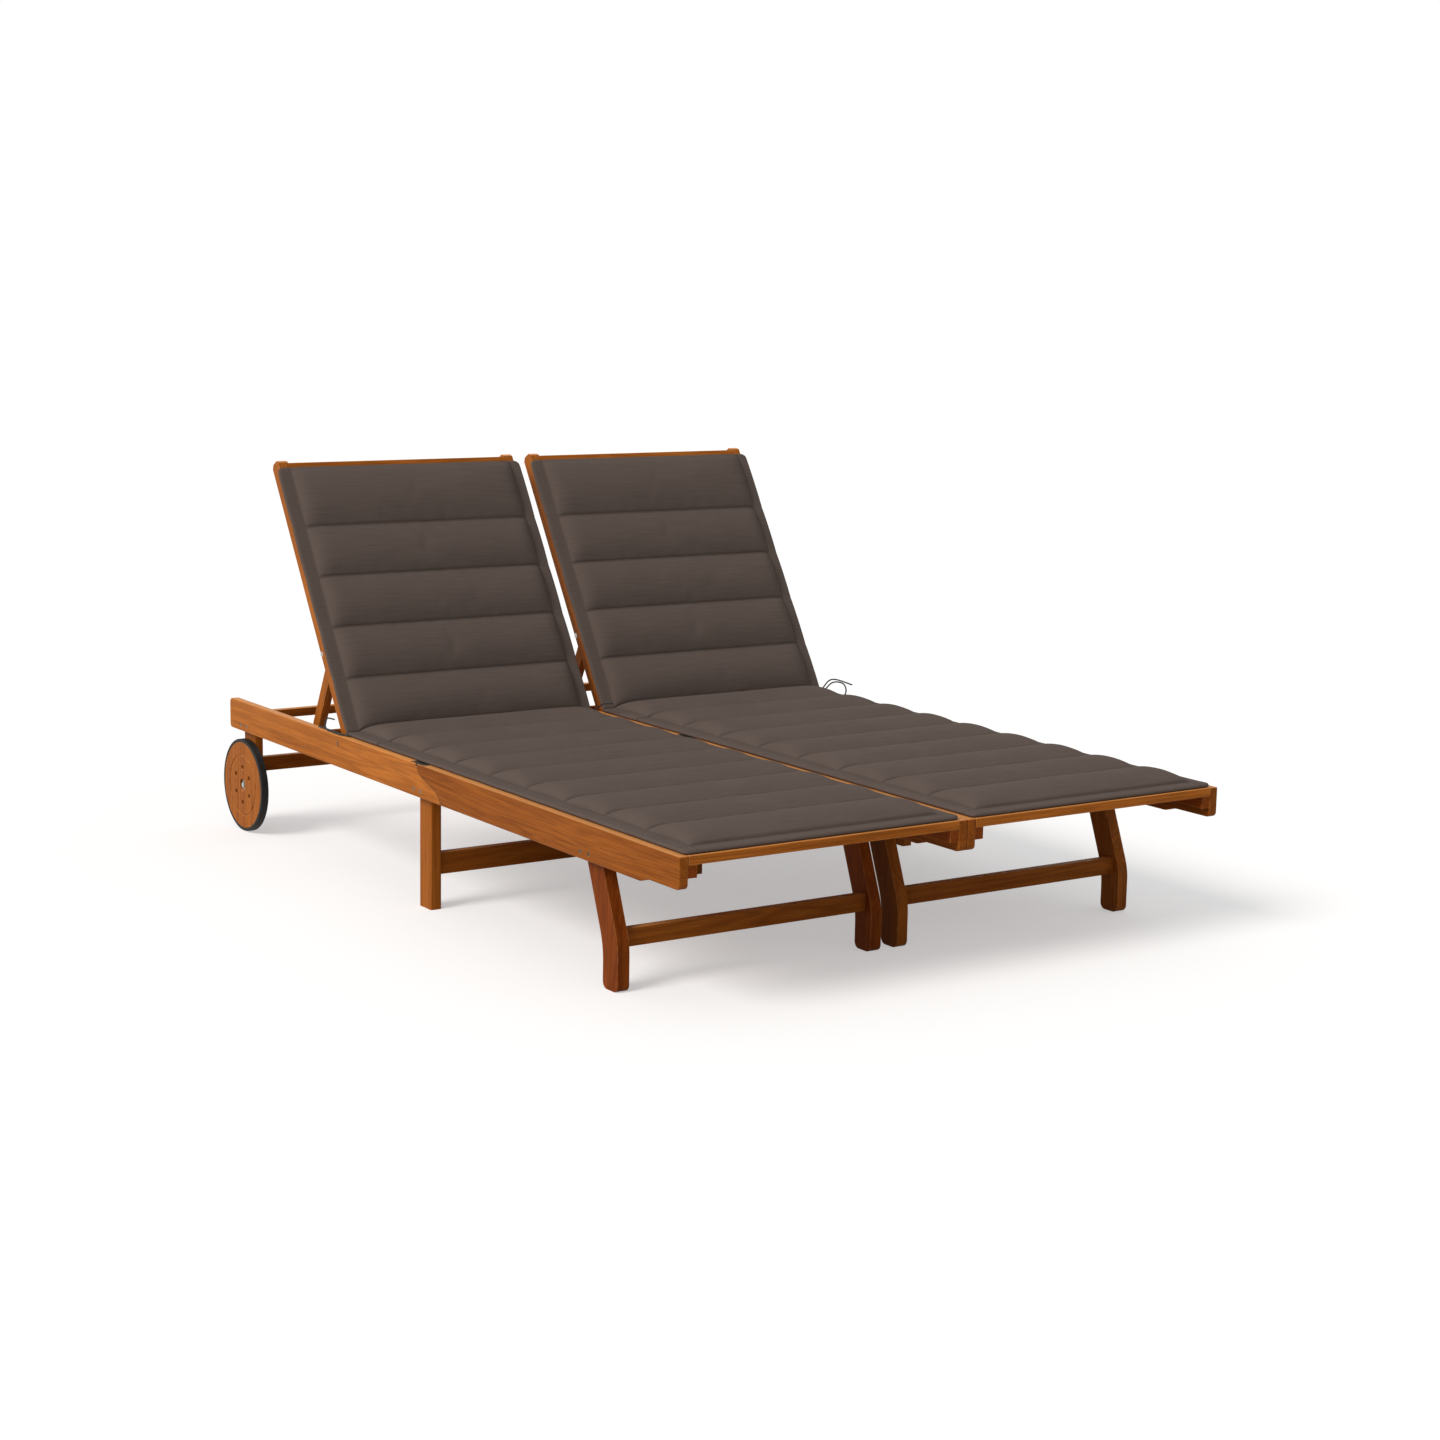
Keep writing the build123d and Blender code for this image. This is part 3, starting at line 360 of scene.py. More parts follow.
def wood(name, turn, light, dark, board=None, figure=0.5, slide=(0, 0, 0), joint=False):
    """Oiled wood. The turn lays the grain's X along the member. Board is a row of boards, as its
    direction, its start and its pitch, so that each board gets its own tone."""
    material, tree, shader = new_material(name)
    coordinates = add_node(tree, "ShaderNodeTexCoord")
    place, facing = coordinates.outputs["Object"], coordinates.outputs["Normal"]
    vector = add_node(
        tree, "ShaderNodeMapping", {"Vector": place, "Rotation": turn, "Location": slide},
    ).outputs[0]
    if board:
        direction, start, pitch = board
        along = add_node(
            tree, "ShaderNodeVectorMath", {0: place, 1: direction}, operation="DOT_PRODUCT",
        ).outputs["Value"]
        count = calc(tree, "FLOOR", calc(tree, "DIVIDE", calc(tree, "SUBTRACT", along, start), pitch))
        chance = add_node(tree, "ShaderNodeTexWhiteNoise", {"W": count}, noise_dimensions="1D")
        jump = add_node(
            tree, "ShaderNodeVectorMath", {0: chance.outputs["Color"], 1: (3.0, 2.0, 4.0)},
            operation="MULTIPLY",
        )
        vector = add_node(
            tree, "ShaderNodeVectorMath", {0: vector, 1: jump.outputs[0]}, operation="ADD",
        ).outputs[0]
    grain = use_group(
        tree, "Wood grain",
        {"Vector": vector, "Light": rgb(light), "Dark": rgb(dark), "Figure": figure},
    )
    colour = grain.outputs["Color"]
    if board:
        tone = calc(tree, "MULTIPLY_ADD", chance.outputs["Value"], 0.34, 0.80)
        colour = blend_colour(tree, 1.0, colour, tone, "MULTIPLY")
    wear = use_group(tree, "Edge wear", {"Vector": place, "Radius": 0.0022})
    # The pale colour serves for real wear on the edges and for a painted highlight on faces that point up.
    pale = blend_colour(tree, 0.6, rgb(light), (0.90, 0.44, 0.16, 1))
    # Painted highlight: faces that point up are lightened towards the pale colour, standing in for light
    # falling on the tops.
    upward = add_node(tree, "ShaderNodeSeparateXYZ", {0: facing}).outputs[2]
    lightening = calc(tree, "MULTIPLY", calc(tree, "SUBTRACT", upward, 0.55, clamp=True), 1.7)
    colour = blend_colour(tree, lightening, colour, pale)
    worn = blend_colour(tree, calc(tree, "MULTIPLY", wear.outputs["Mask"], 0.75), colour, pale)
    dull = calc(tree, "MULTIPLY", patch_mask(tree, place, 5.0), 0.14)
    soiled = blend_colour(tree, dull, worn, rgb(dark))
    if joint:
        # Painted shade: the gap at the rails' joint is drawn as a near-black line.
        line = joint_gap_shade(tree, place, facing)
        soiled = blend_colour(tree, calc(tree, "MULTIPLY", line, 0.95), soiled, (0.02, 0.006, 0.002, 1))
    wire(tree, shader, {
        "Base Color": soiled, "Roughness": grain.outputs["Rough"],
        "Specular IOR Level": 0.06, "Specular Tint": (1.0, 0.7, 0.45, 1),
    })
    add_bump(tree, shader, grain.outputs["Height"], 0.35, 0.0004)
    return material


def metal(name, colour, roughness, scratches):
    """Metal with fine scratches and dull patches."""
    material, tree, shader = new_material(name)
    place = object_place(tree)
    noise = stretched_noise(tree, place, (300.0, 1800.0, 300.0))
    dim = tuple(value * 0.55 for value in colour)
    dull = calc(tree, "MULTIPLY", patch_mask(tree, place, 160.0), 0.45)
    wire(tree, shader, {
        "Base Color": blend_colour(tree, dull, rgb(colour), rgb(dim)),
        "Roughness": calc(tree, "MULTIPLY_ADD", noise, scratches, roughness), "Metallic": 1.0,
    })
    add_bump(tree, shader, noise, 0.2, 0.0002)
    return material


def rubber():
    """Black rubber, greyer where it is dusty."""
    material, tree, shader = new_material("Tyre rubber")
    place = object_place(tree)
    dust = patch_mask(tree, place, 30.0)
    colour = blend_colour(
        tree, calc(tree, "MULTIPLY", dust, 0.4), (0.012, 0.012, 0.011, 1), (0.040, 0.037, 0.032, 1),
    )
    rough = calc(tree, "MULTIPLY_ADD", dust, 0.2, 0.55)
    wire(tree, shader, {"Base Color": colour, "Roughness": rough, "Specular IOR Level": 0.2})
    grain = add_node(tree, "ShaderNodeTexNoise", {"Vector": place, "Scale": 900.0, "Detail": 2.0})
    add_bump(tree, shader, grain.outputs["Fac"], 0.25, 0.0003)
    return material


def canvas():
    """The cushions' woven cover: a weave on the pad's own map, with painted shade darkening the sewn lines.
    """
    material, tree, shader = new_material("Cushion fabric")
    place = add_node(tree, "ShaderNodeUVMap", uv_map="cloth")
    weave = use_group(tree, "Weave", {"Vector": place.outputs[0], "Threads": 520.0})
    seam = add_node(tree, "ShaderNodeAttribute", attribute_name="sewn")
    lightening = patch_mask(tree, place.outputs[0], 7.0)
    cover = settings().cushion_colour
    slub = ramp(tree, weave.outputs["Slub"], [(0.3, 0.90), (0.7, 1.08)])
    threads = calc(tree, "MULTIPLY_ADD", weave.outputs["Height"], 0.06, 1.0)
    colour = blend_colour(tree, 1.0, rgb(cover), slub, "MULTIPLY")
    colour = blend_colour(tree, 1.0, colour, threads, "MULTIPLY")
    # Lighter patches are the cover's own fading; the sewn lines are darkened as painted shade in the seams'
    # creases.
    for mask, share, tone in ((lightening, 0.35, 1.13), (seam.outputs["Fac"], 0.55, 0.55)):
        other = rgb([value * tone for value in cover])
        colour = blend_colour(tree, calc(tree, "MULTIPLY", mask, share), colour, other)
    rough = calc(tree, "MULTIPLY_ADD", lightening, -0.06, 0.9)
    wire(tree, shader, {"Base Color": colour, "Roughness": rough, "Specular IOR Level": 0.08})
    add_bump(tree, shader, weave.outputs["Height"], 0.30, 0.00035)
    return material


def braid():
    """Woven tie cord."""
    material, tree, shader = new_material("Tie cord")
    place = object_place(tree)
    weave = use_group(tree, "Weave", {"Vector": place, "Threads": 900.0})
    worn = calc(tree, "MULTIPLY", patch_mask(tree, place, 60.0), 0.5)
    colour = blend_colour(tree, worn, (0.018, 0.020, 0.019, 1), (0.036, 0.038, 0.035, 1))
    lift = calc(tree, "MULTIPLY_ADD", weave.outputs["Height"], 0.2, 1.0)
    colour = blend_colour(tree, 1.0, colour, lift, "MULTIPLY")
    wire(tree, shader, {"Base Color": colour, "Roughness": 0.85})
    add_bump(tree, shader, weave.outputs["Height"], 0.5, 0.0004)
    return material


ALONG_X = (0, 0, 0)
ALONG_Y = (0, 0, math.radians(-90))
ALONG_Z = (0, math.radians(90), 0)
ALONG_BACK = (-BACK_ANGLE, 0, math.radians(-90))
ALONG_PROP = (math.radians(64), 0, math.radians(-90))


def finish(nodes, material):
    for name in nodes:
        for slot in frame["nodes"][name].material_slots:
            slot.material = material


def shaded(colour, tone):
    """A colour in a lighter or redder and darker board."""
    return (colour[0] * tone, colour[1] * tone ** 1.25, colour[2] * tone ** 1.5)


def golden(colour):
    """A colour in a lighter, yellower board."""
    return (colour[0] * 1.25, colour[1] * 1.65, colour[2] * 1.9)


def on_both(*names):
    return [f"{side}_{name}" for side in SIDES for name in names]


# Cushions, in metres. A place on a pad is its path along the length, from the foot, and its X.


CREASE_BEFORE_PIVOT = 0.01015
CREASE_ALONG_BACK = 0.01014
CREASE_TURN = (math.pi + BACK_ANGLE) / 2
CREASE_NORMAL = Vector((0, math.sin(CREASE_TURN), -math.cos(CREASE_TURN)))
CREASE_GAP = 0.0003
PAD_LIFT = 0.0003
CREASE_SEAM, CREASE_STEP = 0.004, 0.0015
SEAT_CHANNELS, BACK_CHANNELS = 9, 5
FRONT_CHANNELS = 8
CHANNEL_ROWS = 14
FRONT_HEM, BACK_HEM = "front hem", "back hem"
HEM_STEPS = [0.0, 0.0012, 0.003, 0.0055, 0.009, 0.013, 0.020]
HEM_SEAM = 0.0025
INNER_STEPS = (0.002, 0.006, 0.012, 0.020, 0.030)
MIDDLE_COLUMNS = 23
BACK_HEM_WIDTH = 0.011
EDGE_RADIUS, CORNER_RADIUS = 0.0055, 0.013
LENGTH_GAP, TONGUE, GROOVE = 0.0002, 0.006, 0.008
TONGUE_TAPER = 0.992
SEAM_DRAW = 0.0016
HEAD_DRAW, HEAD_DRAW_REACH = 0.0035, 0.030
SWELL_FRAMES, SWELL_CAP = 20, 0.010


def puff(share):
    """Cross profile of one filled channel, from seam to seam."""
    return max(0.0, 1 - abs(2 * share - 1) ** 2.1) ** 0.8


def roll(distance, reach):
    """Rise of the cover from a sewn edge, over a reach."""
    near = min(max(distance / reach, 0.0), 1.0)
    return (1 - (1 - near) ** 2.4) ** 0.6


def ripple(a, b):
    """Small creases that never repeat quite alike."""
    long_waves = math.sin(a * 71.0 + 1.3) * math.sin(a * 43.0 + b * 9.0)
    return (long_waves + 0.6 * math.sin(a * 127.0 + b * 5.0)) / 1.6


def channel_rows(seams):
    """Path places of the rows, each with its channel's number and its share of that channel."""
    rows = []
    for number, (near, far) in enumerate(zip(seams[:-1], seams[1:])):
        for i in range(CHANNEL_ROWS):
            share = (1 - math.cos(math.pi * i / CHANNEL_ROWS)) / 2
            rows.append((near + (far - near) * share, number, share))
    rows.append((seams[-1], len(seams) - 2, 1.0))
    return rows


class PadShape:
    """Where a point of a pad lies."""

    def __init__(self):
        looks = settings()
        self.half = looks.cushion_width / 2
        self.border = looks.border_width
        self.crown = looks.cushion_crown
        self.seam = 0.0145
        self.rim = 0.0085
        self.corner = Vector((PIVOT.y - CREASE_BEFORE_PIVOT, RAIL_TOP + PAD_LIFT))
        self.front = FOOT_END + looks.cushion_front
        self.to_corner = self.corner.x - self.front
        first, last = self.border, self.to_corner - CREASE_SEAM
        self.seat_seams = [first + (last - first) * i / SEAT_CHANNELS for i in range(SEAT_CHANNELS + 1)]
        self.end = self.to_corner + (looks.cushion_back - CREASE_ALONG_BACK)
        first, last = self.to_corner + CREASE_SEAM, self.end - self.border
        self.back_seams = [first + (last - first) * i / BACK_CHANNELS for i in range(BACK_CHANNELS)]
        self.back_seams.append(self.end)

    def crease_limit(self, path):
        """Highest that the pad can stand beside the crease, where seat and back press together."""
        return abs(path - self.to_corner) * math.tan((math.pi - BACK_ANGLE) / 2) * 0.99 + 0.0004

    def place(self, x, path, height):
        if path <= self.to_corner:
            return Vector((x, self.front + path, self.corner.y + height))
        along = Vector((math.cos(BACK_ANGLE), math.sin(BACK_ANGLE)))
        across = Vector((-math.sin(BACK_ANGLE), math.cos(BACK_ANGLE)))
        point = self.corner + along * (path - self.to_corner) + across * height
        return Vector((x, point.x, point.y))

    def top(self, x, path, share, ends):
        """Height of the upper cover."""
        inside = self.half - self.border - abs(x)
        from_end = min(path - ends[0], ends[1] - path)
        if inside <= 0 or from_end < 0:
            height = self.rim
        else:
            sides = roll(inside, 0.040) * roll(from_end, 0.030)
            height = self.rim + (self.seam - self.rim) * sides
            height += (self.crown - self.seam) * puff(share) * roll(inside, 0.045)
            near_seam = math.exp(-min(share, 1 - share) / 0.09)
            near_side = math.exp(-inside / 0.030)
            height += 0.0009 * near_seam * ripple(x * 1.0 + path * 0.3, path * 2.0) * roll(inside, 0.02)
            height += 0.0009 * near_side * ripple(path * 1.1, x) * roll(inside, 0.01)
        return min(height, self.crease_limit(path))


def pad_columns(shape):
    """X places across a pad, close together at the edge and at the border's seam."""
    inner = shape.half - shape.border
    outside = HEM_STEPS + [shape.border - HEM_SEAM, shape.border]
    columns = [shape.half - step for step in outside] + [inner - step for step in INNER_STEPS]
    reach = inner - INNER_STEPS[-1]
    columns += [reach - reach * i / MIDDLE_COLUMNS for i in range(1, MIDDLE_COLUMNS + 1)]
    return [-x for x in columns[:-1]] + [0.0] + columns[:-1][::-1]


def round_corner(shape, across, path, first_end, last_end, rows):
    """Bends the edge's rows and columns round the pad's corners."""
    side = abs(across) - (shape.half - CORNER_RADIUS)
    if first_end == "edge" and path - rows[0][0] < CORNER_RADIUS:
        turn, past = -1, CORNER_RADIUS - (path - rows[0][0])
    elif last_end == "edge" and rows[-1][0] - path < CORNER_RADIUS:
        turn, past = 1, CORNER_RADIUS - (rows[-1][0] - path)
    else:
        return across, path
    if side <= 0 or past <= 0:
        return across, path
    scale = max(side, past) / math.hypot(side, past)
    across = math.copysign(abs(across) - side * (1 - scale), across)
    return across, path - turn * past * (1 - scale)


def edge_drop(distance):
    """Share of the full height at a distance from the rounded edge."""
    return math.sqrt(max(0.0, 1 - (1 - min(distance / EDGE_RADIUS, 1.0)) ** 2))


def make_pad(name, shape, rows, first_end, last_end, ends):
    """A closed pad: upper cover, lower cover, and a rounded edge between them."""
    inner = shape.half - shape.border
    columns = pad_columns(shape)
    points, faces, sewn, pinned, cloth = [], [], [], [], []
    index = {}
    last_row, last_column = len(rows) - 1, len(columns) - 1

    def add(key, x, path, height, is_sewn, is_pinned):
        index[key] = len(points)
        points.append(shape.place(x, path, height))
        sewn.append(is_sewn)
        pinned.append(is_pinned)
        cloth.append((x, path))

    for r, (place, number, share) in enumerate(rows):
        draw = 0.0 if number == FRONT_HEM else SEAM_DRAW * (1 - puff(share))
        draw -= HEAD_DRAW * max(0.0, 1 - (shape.end - place) / HEAD_DRAW_REACH)
        for c, across in enumerate(columns):
            edge_x = shape.half - abs(across)
            pull = draw * min(1.0, max(0.0, 1 - edge_x / (shape.border * 1.6)))
            x, path = round_corner(shape, across, place, first_end, last_end, rows)
            x -= math.copysign(pull, across) if across else 0.0
            if r == last_row and last_end == "sewn":
                x *= TONGUE_TAPER
            rim = r in (0, last_row) or c in (0, last_column)
            top = shape.top(across, place, share, ends)
            low = 0.0
            for rounded, distance in (
                (first_end == "edge", place - rows[0][0]), (last_end == "edge", rows[-1][0] - place),
                (edge_x < shape.border - 0.001, edge_x),
            ):
                if rounded:
                    top *= 0.5 + 0.5 * edge_drop(distance)
                    low = max(low, 0.5 * (1 - edge_drop(distance)) * shape.rim)
            inside, off_seam = inner - abs(across), min(share, 1 - share)
            line = number not in (FRONT_HEM, BACK_HEM) and off_seam < 0.02 and inside > -0.001
            line = line or abs(inside) < 0.0015 or place == ends[0]
            held = place < ends[0] or number == FRONT_HEM or off_seam < 0.03 or inside < 0.004
            if rim:
                add((r, c, 0), x, path, (top + low) / 2, 0.0, True)
                index[(r, c, 1)] = index[(r, c, 0)]
            else:
                add((r, c, 0), x, path, top, 1.0 if line else 0.0, held)
                add((r, c, 1), x, path, low, 0.0, True)
    for r in range(last_row):
        for c in range(last_column):
            for cover in (0, 1):
                corners = ((r, c), (r, c + 1), (r + 1, c + 1), (r + 1, c))
                ring = [index[(*corner, cover)] for corner in corners]
                faces.append(ring if cover == 0 else ring[::-1])
    pad = add_mesh(name, points, faces)
    attribute = pad.data.attributes.new("sewn", "FLOAT", "POINT")
    attribute.data.foreach_set("value", sewn)
    layer = pad.data.uv_layers.new(name="cloth")
    for loop in pad.data.loops:
        layer.data[loop.index].uv = cloth[loop.vertex_index]
    return pad, [i for i, held in enumerate(pinned) if held]


def swell(pad, pinned):
    """Lets the filled cover swell between its sewn lines, and keeps the result."""
    before = [vertex.co.copy() for vertex in pad.data.vertices]
    group = pad.vertex_groups.new(name="held")
    group.add(pinned, 1.0, "REPLACE")
    pick(pad)
    modifier = pad.modifiers.new("Swell", "CLOTH")
    set_all(
        modifier.settings, quality=6, mass=0.3, tension_stiffness=25, compression_stiffness=25,
        shear_stiffness=12, bending_stiffness=4.0, air_damping=6, shrink_min=-0.002,
        use_pressure=True, uniform_pressure_force=4, vertex_group_mass="held",
    )
    modifier.settings.effector_weights.gravity = 0
    modifier.collision_settings.use_collision = False
    modifier.point_cache.frame_start = 1
    modifier.point_cache.frame_end = SWELL_FRAMES
    for number in range(1, SWELL_FRAMES + 1):
        bpy.context.scene.frame_set(number)
    bpy.ops.object.modifier_apply(modifier="Swell")
    bpy.context.scene.frame_set(1)
    pad.vertex_groups.clear()
    for vertex, start in zip(pad.data.vertices, before):
        step = vertex.co - start
        if step.length > SWELL_CAP:
            vertex.co = start + step * (SWELL_CAP / step.length)


def keep_crease(pad, shape):
    """Presses the swollen seat and back against each other at the crease, a little apart."""
    normal = CREASE_NORMAL.yz
    for vertex, entry in zip(pad.data.vertices, pad.data.attributes["path"].data):
        point = vertex.co.yz - shape.corner
        side = point.dot(normal)
        if entry.value < shape.to_corner and side > -CREASE_GAP:
            point -= normal * (side + CREASE_GAP)
        if entry.value > shape.to_corner and side < CREASE_GAP:
            point += normal * (CREASE_GAP - side)
        vertex.co.yz = point + shape.corner


def pad_pair():
    """One lounger's cushion in two lengths that meet in a sewn line of the seat."""
    shape = PadShape()
    meet, crease = shape.seat_seams[FRONT_CHANNELS], shape.to_corner
    last = FRONT_CHANNELS - 1
    front_rows = [(path, FRONT_HEM, 0.0) for path in HEM_STEPS + [shape.border - HEM_SEAM]]
    front_rows += channel_rows(shape.seat_seams[:FRONT_CHANNELS + 1])[:-1]
    front_rows += [(meet - LENGTH_GAP, last, 1.0), (meet + TONGUE, last, 1.0)]
    ends = (shape.seat_seams[0], math.inf)
    foot_pad, foot_held = make_pad("foot_pad", shape, front_rows, "edge", "sewn", ends)
    seat = FRONT_CHANNELS
    back_rows = [(meet + step, seat, 0.0) for step in (GROOVE, LENGTH_GAP)]
    back_rows += channel_rows(shape.seat_seams[FRONT_CHANNELS:])[1:-1]
    back_rows += [(crease - step, seat, 1.0) for step in (CREASE_SEAM, CREASE_STEP, 0)]
    back_rows += [(crease + CREASE_STEP, seat + 1, 0.0)] + channel_rows(shape.back_seams)
    back_rows = [row for row in back_rows if row[0] < shape.end - BACK_HEM_WIDTH]
    back_rows += [(shape.end - step, BACK_HEM, 1.0) for step in HEM_STEPS[4::-1]]
    ends = (-math.inf, shape.end)
    back_pad, back_held = make_pad("back_pad", shape, back_rows, "sewn", "edge", ends)
    for pad, held in ((foot_pad, foot_held), (back_pad, back_held)):
        paths = pad.data.attributes.new("path", "FLOAT", "POINT")
        values = [0.0] * len(pad.data.vertices)
        for loop in pad.data.loops:
            values[loop.vertex_index] = pad.data.uv_layers["cloth"].data[loop.index].uv[1]
        paths.data.foreach_set("value", values)
        swell(pad, held)
        if pad is back_pad:
            keep_crease(pad, shape)
        apply_modifier(pad, "SUBSURF", "Smooth", levels=1, render_levels=1)
        bpy.ops.object.shade_smooth()
    return foot_pad, back_pad


class LOUNGER_OT_cushions(bpy.types.Operator):
    """Sews and fills each lounger's quilted cushion"""

    bl_idname = "lounger.cushions"
    bl_label = "Cushions"

    def execute(self, context):
        foot_pad, back_pad = pad_pair()
        fabric = canvas()
        for side, sign in SIDES.items():
            for pad, name in ((foot_pad, "foot_pad"), (back_pad, "back_pad")):
                mesh = pad.data.copy()
                mesh.transform(Matrix.Translation((sign * CENTRE, 0, 0)))
                copy = add_object(f"{side}_{name}", mesh)
                mesh.materials.clear()
                mesh.materials.append(fabric)
                if name == "foot_pad":
                    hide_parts(f"{side}_foot_cushion", f"{side}_seat_cushion")
                    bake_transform(copy)
                else:
                    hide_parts(f"{side}_seat_cushion", f"{side}_back_cushion")
                    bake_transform(copy)
        for pad in (foot_pad, back_pad):
            bpy.data.objects.remove(pad)
        return {"FINISHED"}


# Ties: in from the rail's outer face, on from the backrest's pivot, and up from the rail's top, in mm


TIE_ROUTES = {
    "outer_left_loop": [
        (18.5, -25.0, 4.6), (9.5, -15.0, 3.4), (6.2, 0.0, 2.3), (5.6, 20.0, 2.2), (6.3, 45.0, 2.4),
        (5.8, 70.5, 2.3), (6.5, 78.0, 15.3), (7.0, 69.0, 28.0), (6.2, 50.0, 31.0), (5.5, 28.0, 31.5),
    ],
    "outer_left_tail": [
        (17.5, -40.0, 4.8), (11.4, -28.0, 3.8), (10.4, -8.0, 2.6), (10.9, 18.0, 2.2),
        (10.3, 44.0, 2.4), (10.9, 70.0, 2.2), (10.2, 94.0, 2.5), (10.8, 118.0, 2.3),
    ],
    "inner_left_loop": [
        (18.0, -17.0, 5.0), (9.5, -20.0, 10.0), (6.4, -31.0, 18.0),
        (5.6, -47.0, 27.0), (6.2, -69.0, 32.0), (5.6, -92.0, 34.5),
    ],
    "inner_left_tail": [
        (17.2, -26.0, 4.6), (11.4, -37.0, 3.2), (10.2, -55.0, 2.3), (9.6, -78.0, 2.5), (10.1, -100.0, 2.3),
    ],
    "outer_right_loop": [
        (18.0, -17.0, 5.0), (8.0, -17.5, 14.0), (5.6, -27.0, 27.0), (5.2, -42.0, 35.5),
        (5.8, -62.0, 38.5), (5.2, -85.0, 37.6), (5.7, -108.0, 36.0), (5.2, -128.0, 34.2),
    ],
    "outer_right_tail": [
        (17.2, -26.0, 4.6), (11.2, -33.0, 13.0), (9.8, -46.0, 26.0), (10.2, -64.0, 33.0), (9.8, -84.0, 35.0),
        (10.2, -104.7, 33.0), (9.8, -113.3, 18.0), (9.3, -104.7, 3.0), (9.7, -86.0, 2.3),
    ],
}
CORD_RADIUS = 0.00175
TIES = [
    ("left", -1, "outer_left_loop", 0.1674), ("left", -1, "outer_left_tail", 0.1594),
    ("left", 1, "inner_left_loop", 0.0876), ("left", 1, "inner_left_tail", 0.0754),
    ("right", 1, "outer_right_loop", 0.1322), ("right", 1, "outer_right_tail", 0.1399),
]


class LOUNGER_OT_ties(bpy.types.Operator):
    """Lays the cushions' loose ties"""

    bl_idname = "lounger.ties"
    bl_label = "Cushion ties"

    def execute(self, context):
        cord = braid()
        for side, outward, route, length in TIES:
            middle = SIDES[side] * CENTRE
            points = [
                (middle + outward * (HALF_WIDTH - x / 1000), PIVOT.y + y / 1000, RAIL_TOP + z / 1000)
                for x, y, z in TIE_ROUTES[route]
            ]
            curve = bpy.data.curves.new(route, "CURVE")
            curve.dimensions = "3D"
            spline = curve.splines.new("NURBS")
            spline.points.add(len(points) - 1)
            for target, point in zip(spline.points, points):
                target.co = (*point, 1.0)
            spline.order_u = 3
            spline.use_endpoint_u = True
            spline.resolution_u = 10
            curve.bevel_depth = CORD_RADIUS
            curve.bevel_resolution = 3
            curve.use_fill_caps = True
            curve.materials.append(cord)
            tie = add_object(route, curve)
            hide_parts(f"{side}_cushion_ties")
            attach(tie, "frame")
        return {"FINISHED"}


# Finishes of the wooden frame


RAIL_TONES = {
    "left_outer_head_rail": 1.10, "left_inner_head_rail": 1.0,
    "left_outer_foot_rail": 0.76, "left_inner_foot_rail": 0.62,
    "right_outer_head_rail": 1.0, "right_inner_head_rail": 0.92,
    "right_outer_foot_rail": 0.55, "right_inner_foot_rail": 0.68,
}


class LOUNGER_OT_rails(bpy.types.Operator):
    """Oils the side rails"""

    bl_idname = "lounger.rails"
    bl_label = "Side rails"

    def execute(self, context):
        looks = settings()
        for number, (name, tone) in enumerate(RAIL_TONES.items()):
            slide = (number * 1.7, number * 0.4, 0.2)
            light, dark = shaded(looks.wood_light, tone), shaded(looks.wood_dark, tone)
            rail = wood(f"Rail wood {number + 1}", ALONG_Y, light, dark, slide=slide, joint=True)
            finish([name], rail)
        return {"FINISHED"}


SLAT_WIDTH = 0.0581
BACK_SLAT_START = 0.016
BACK_SLAT_PITCH = 0.0689


class LOUNGER_OT_seat(bpy.types.Operator):
    """Oils the slats and the battens that carry them"""

    bl_idname = "lounger.seat"
    bl_label = "Slats and battens"

    def execute(self, context):
        looks = settings()
        light, dark = looks.wood_light, looks.wood_dark
        rows = ("Slat wood 1", on_both("foot_slats"), 15), ("Slat wood 2", ["seat_slats"], 5)
        for name, nodes, count in rows:
            low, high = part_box(nodes[0])
            pitch = (high.y - low.y - SLAT_WIDTH) / (count - 1)
            start = low.y - (pitch - SLAT_WIDTH) / 2
            finish(nodes, wood(name, ALONG_X, light, dark, board=((0, 1, 0), start, pitch)))
        # The battens take the leg colours, which carry painted shade as well as the wood's tone.
        bars = wood("Batten wood", ALONG_Y, looks.leg_light_and_shade, looks.leg_dark_and_shade, slide=(0.3, 0.6, 0.9))
        finish(on_both("foot_battens") + ["seat_battens", "prop_ladders"], bars)
        return {"FINISHED"}


class LOUNGER_OT_legs(bpy.types.Operator):
    """Oils the legs, stretchers and crossbars"""

    bl_idname = "lounger.legs"
    bl_label = "Legs and stretchers"

    def execute(self, context):
        looks = settings()
        # The leg colours carry painted shade as well as the wood's tone; the lighter variants below start
        # from them.
        light, dark = looks.leg_light_and_shade, looks.leg_dark_and_shade
        posts = wood("Leg wood", ALONG_Z, looks.wood_light, looks.wood_dark, slide=(0.5, 0.1, 0.3))
        finish(on_both("mid_legs", "rear_legs"), posts)
        finish(["left_front_legs"], wood("Front leg wood 1", ALONG_Z, light, dark, slide=(0.9, 0.7, 0.2)))
        other = wood("Front leg wood 2", ALONG_Z, golden(light), golden(dark), slide=(0.1, 0.8, 0.6))
        finish(["right_front_legs"], other)
        bars = wood("Stretcher wood", ALONG_X, golden(light), golden(dark), slide=(0.2, 0.9, 0.5))
        finish(on_both("front_stretcher") + ["leg_stretchers", "head_crossbars"], bars)
        return {"FINISHED"}


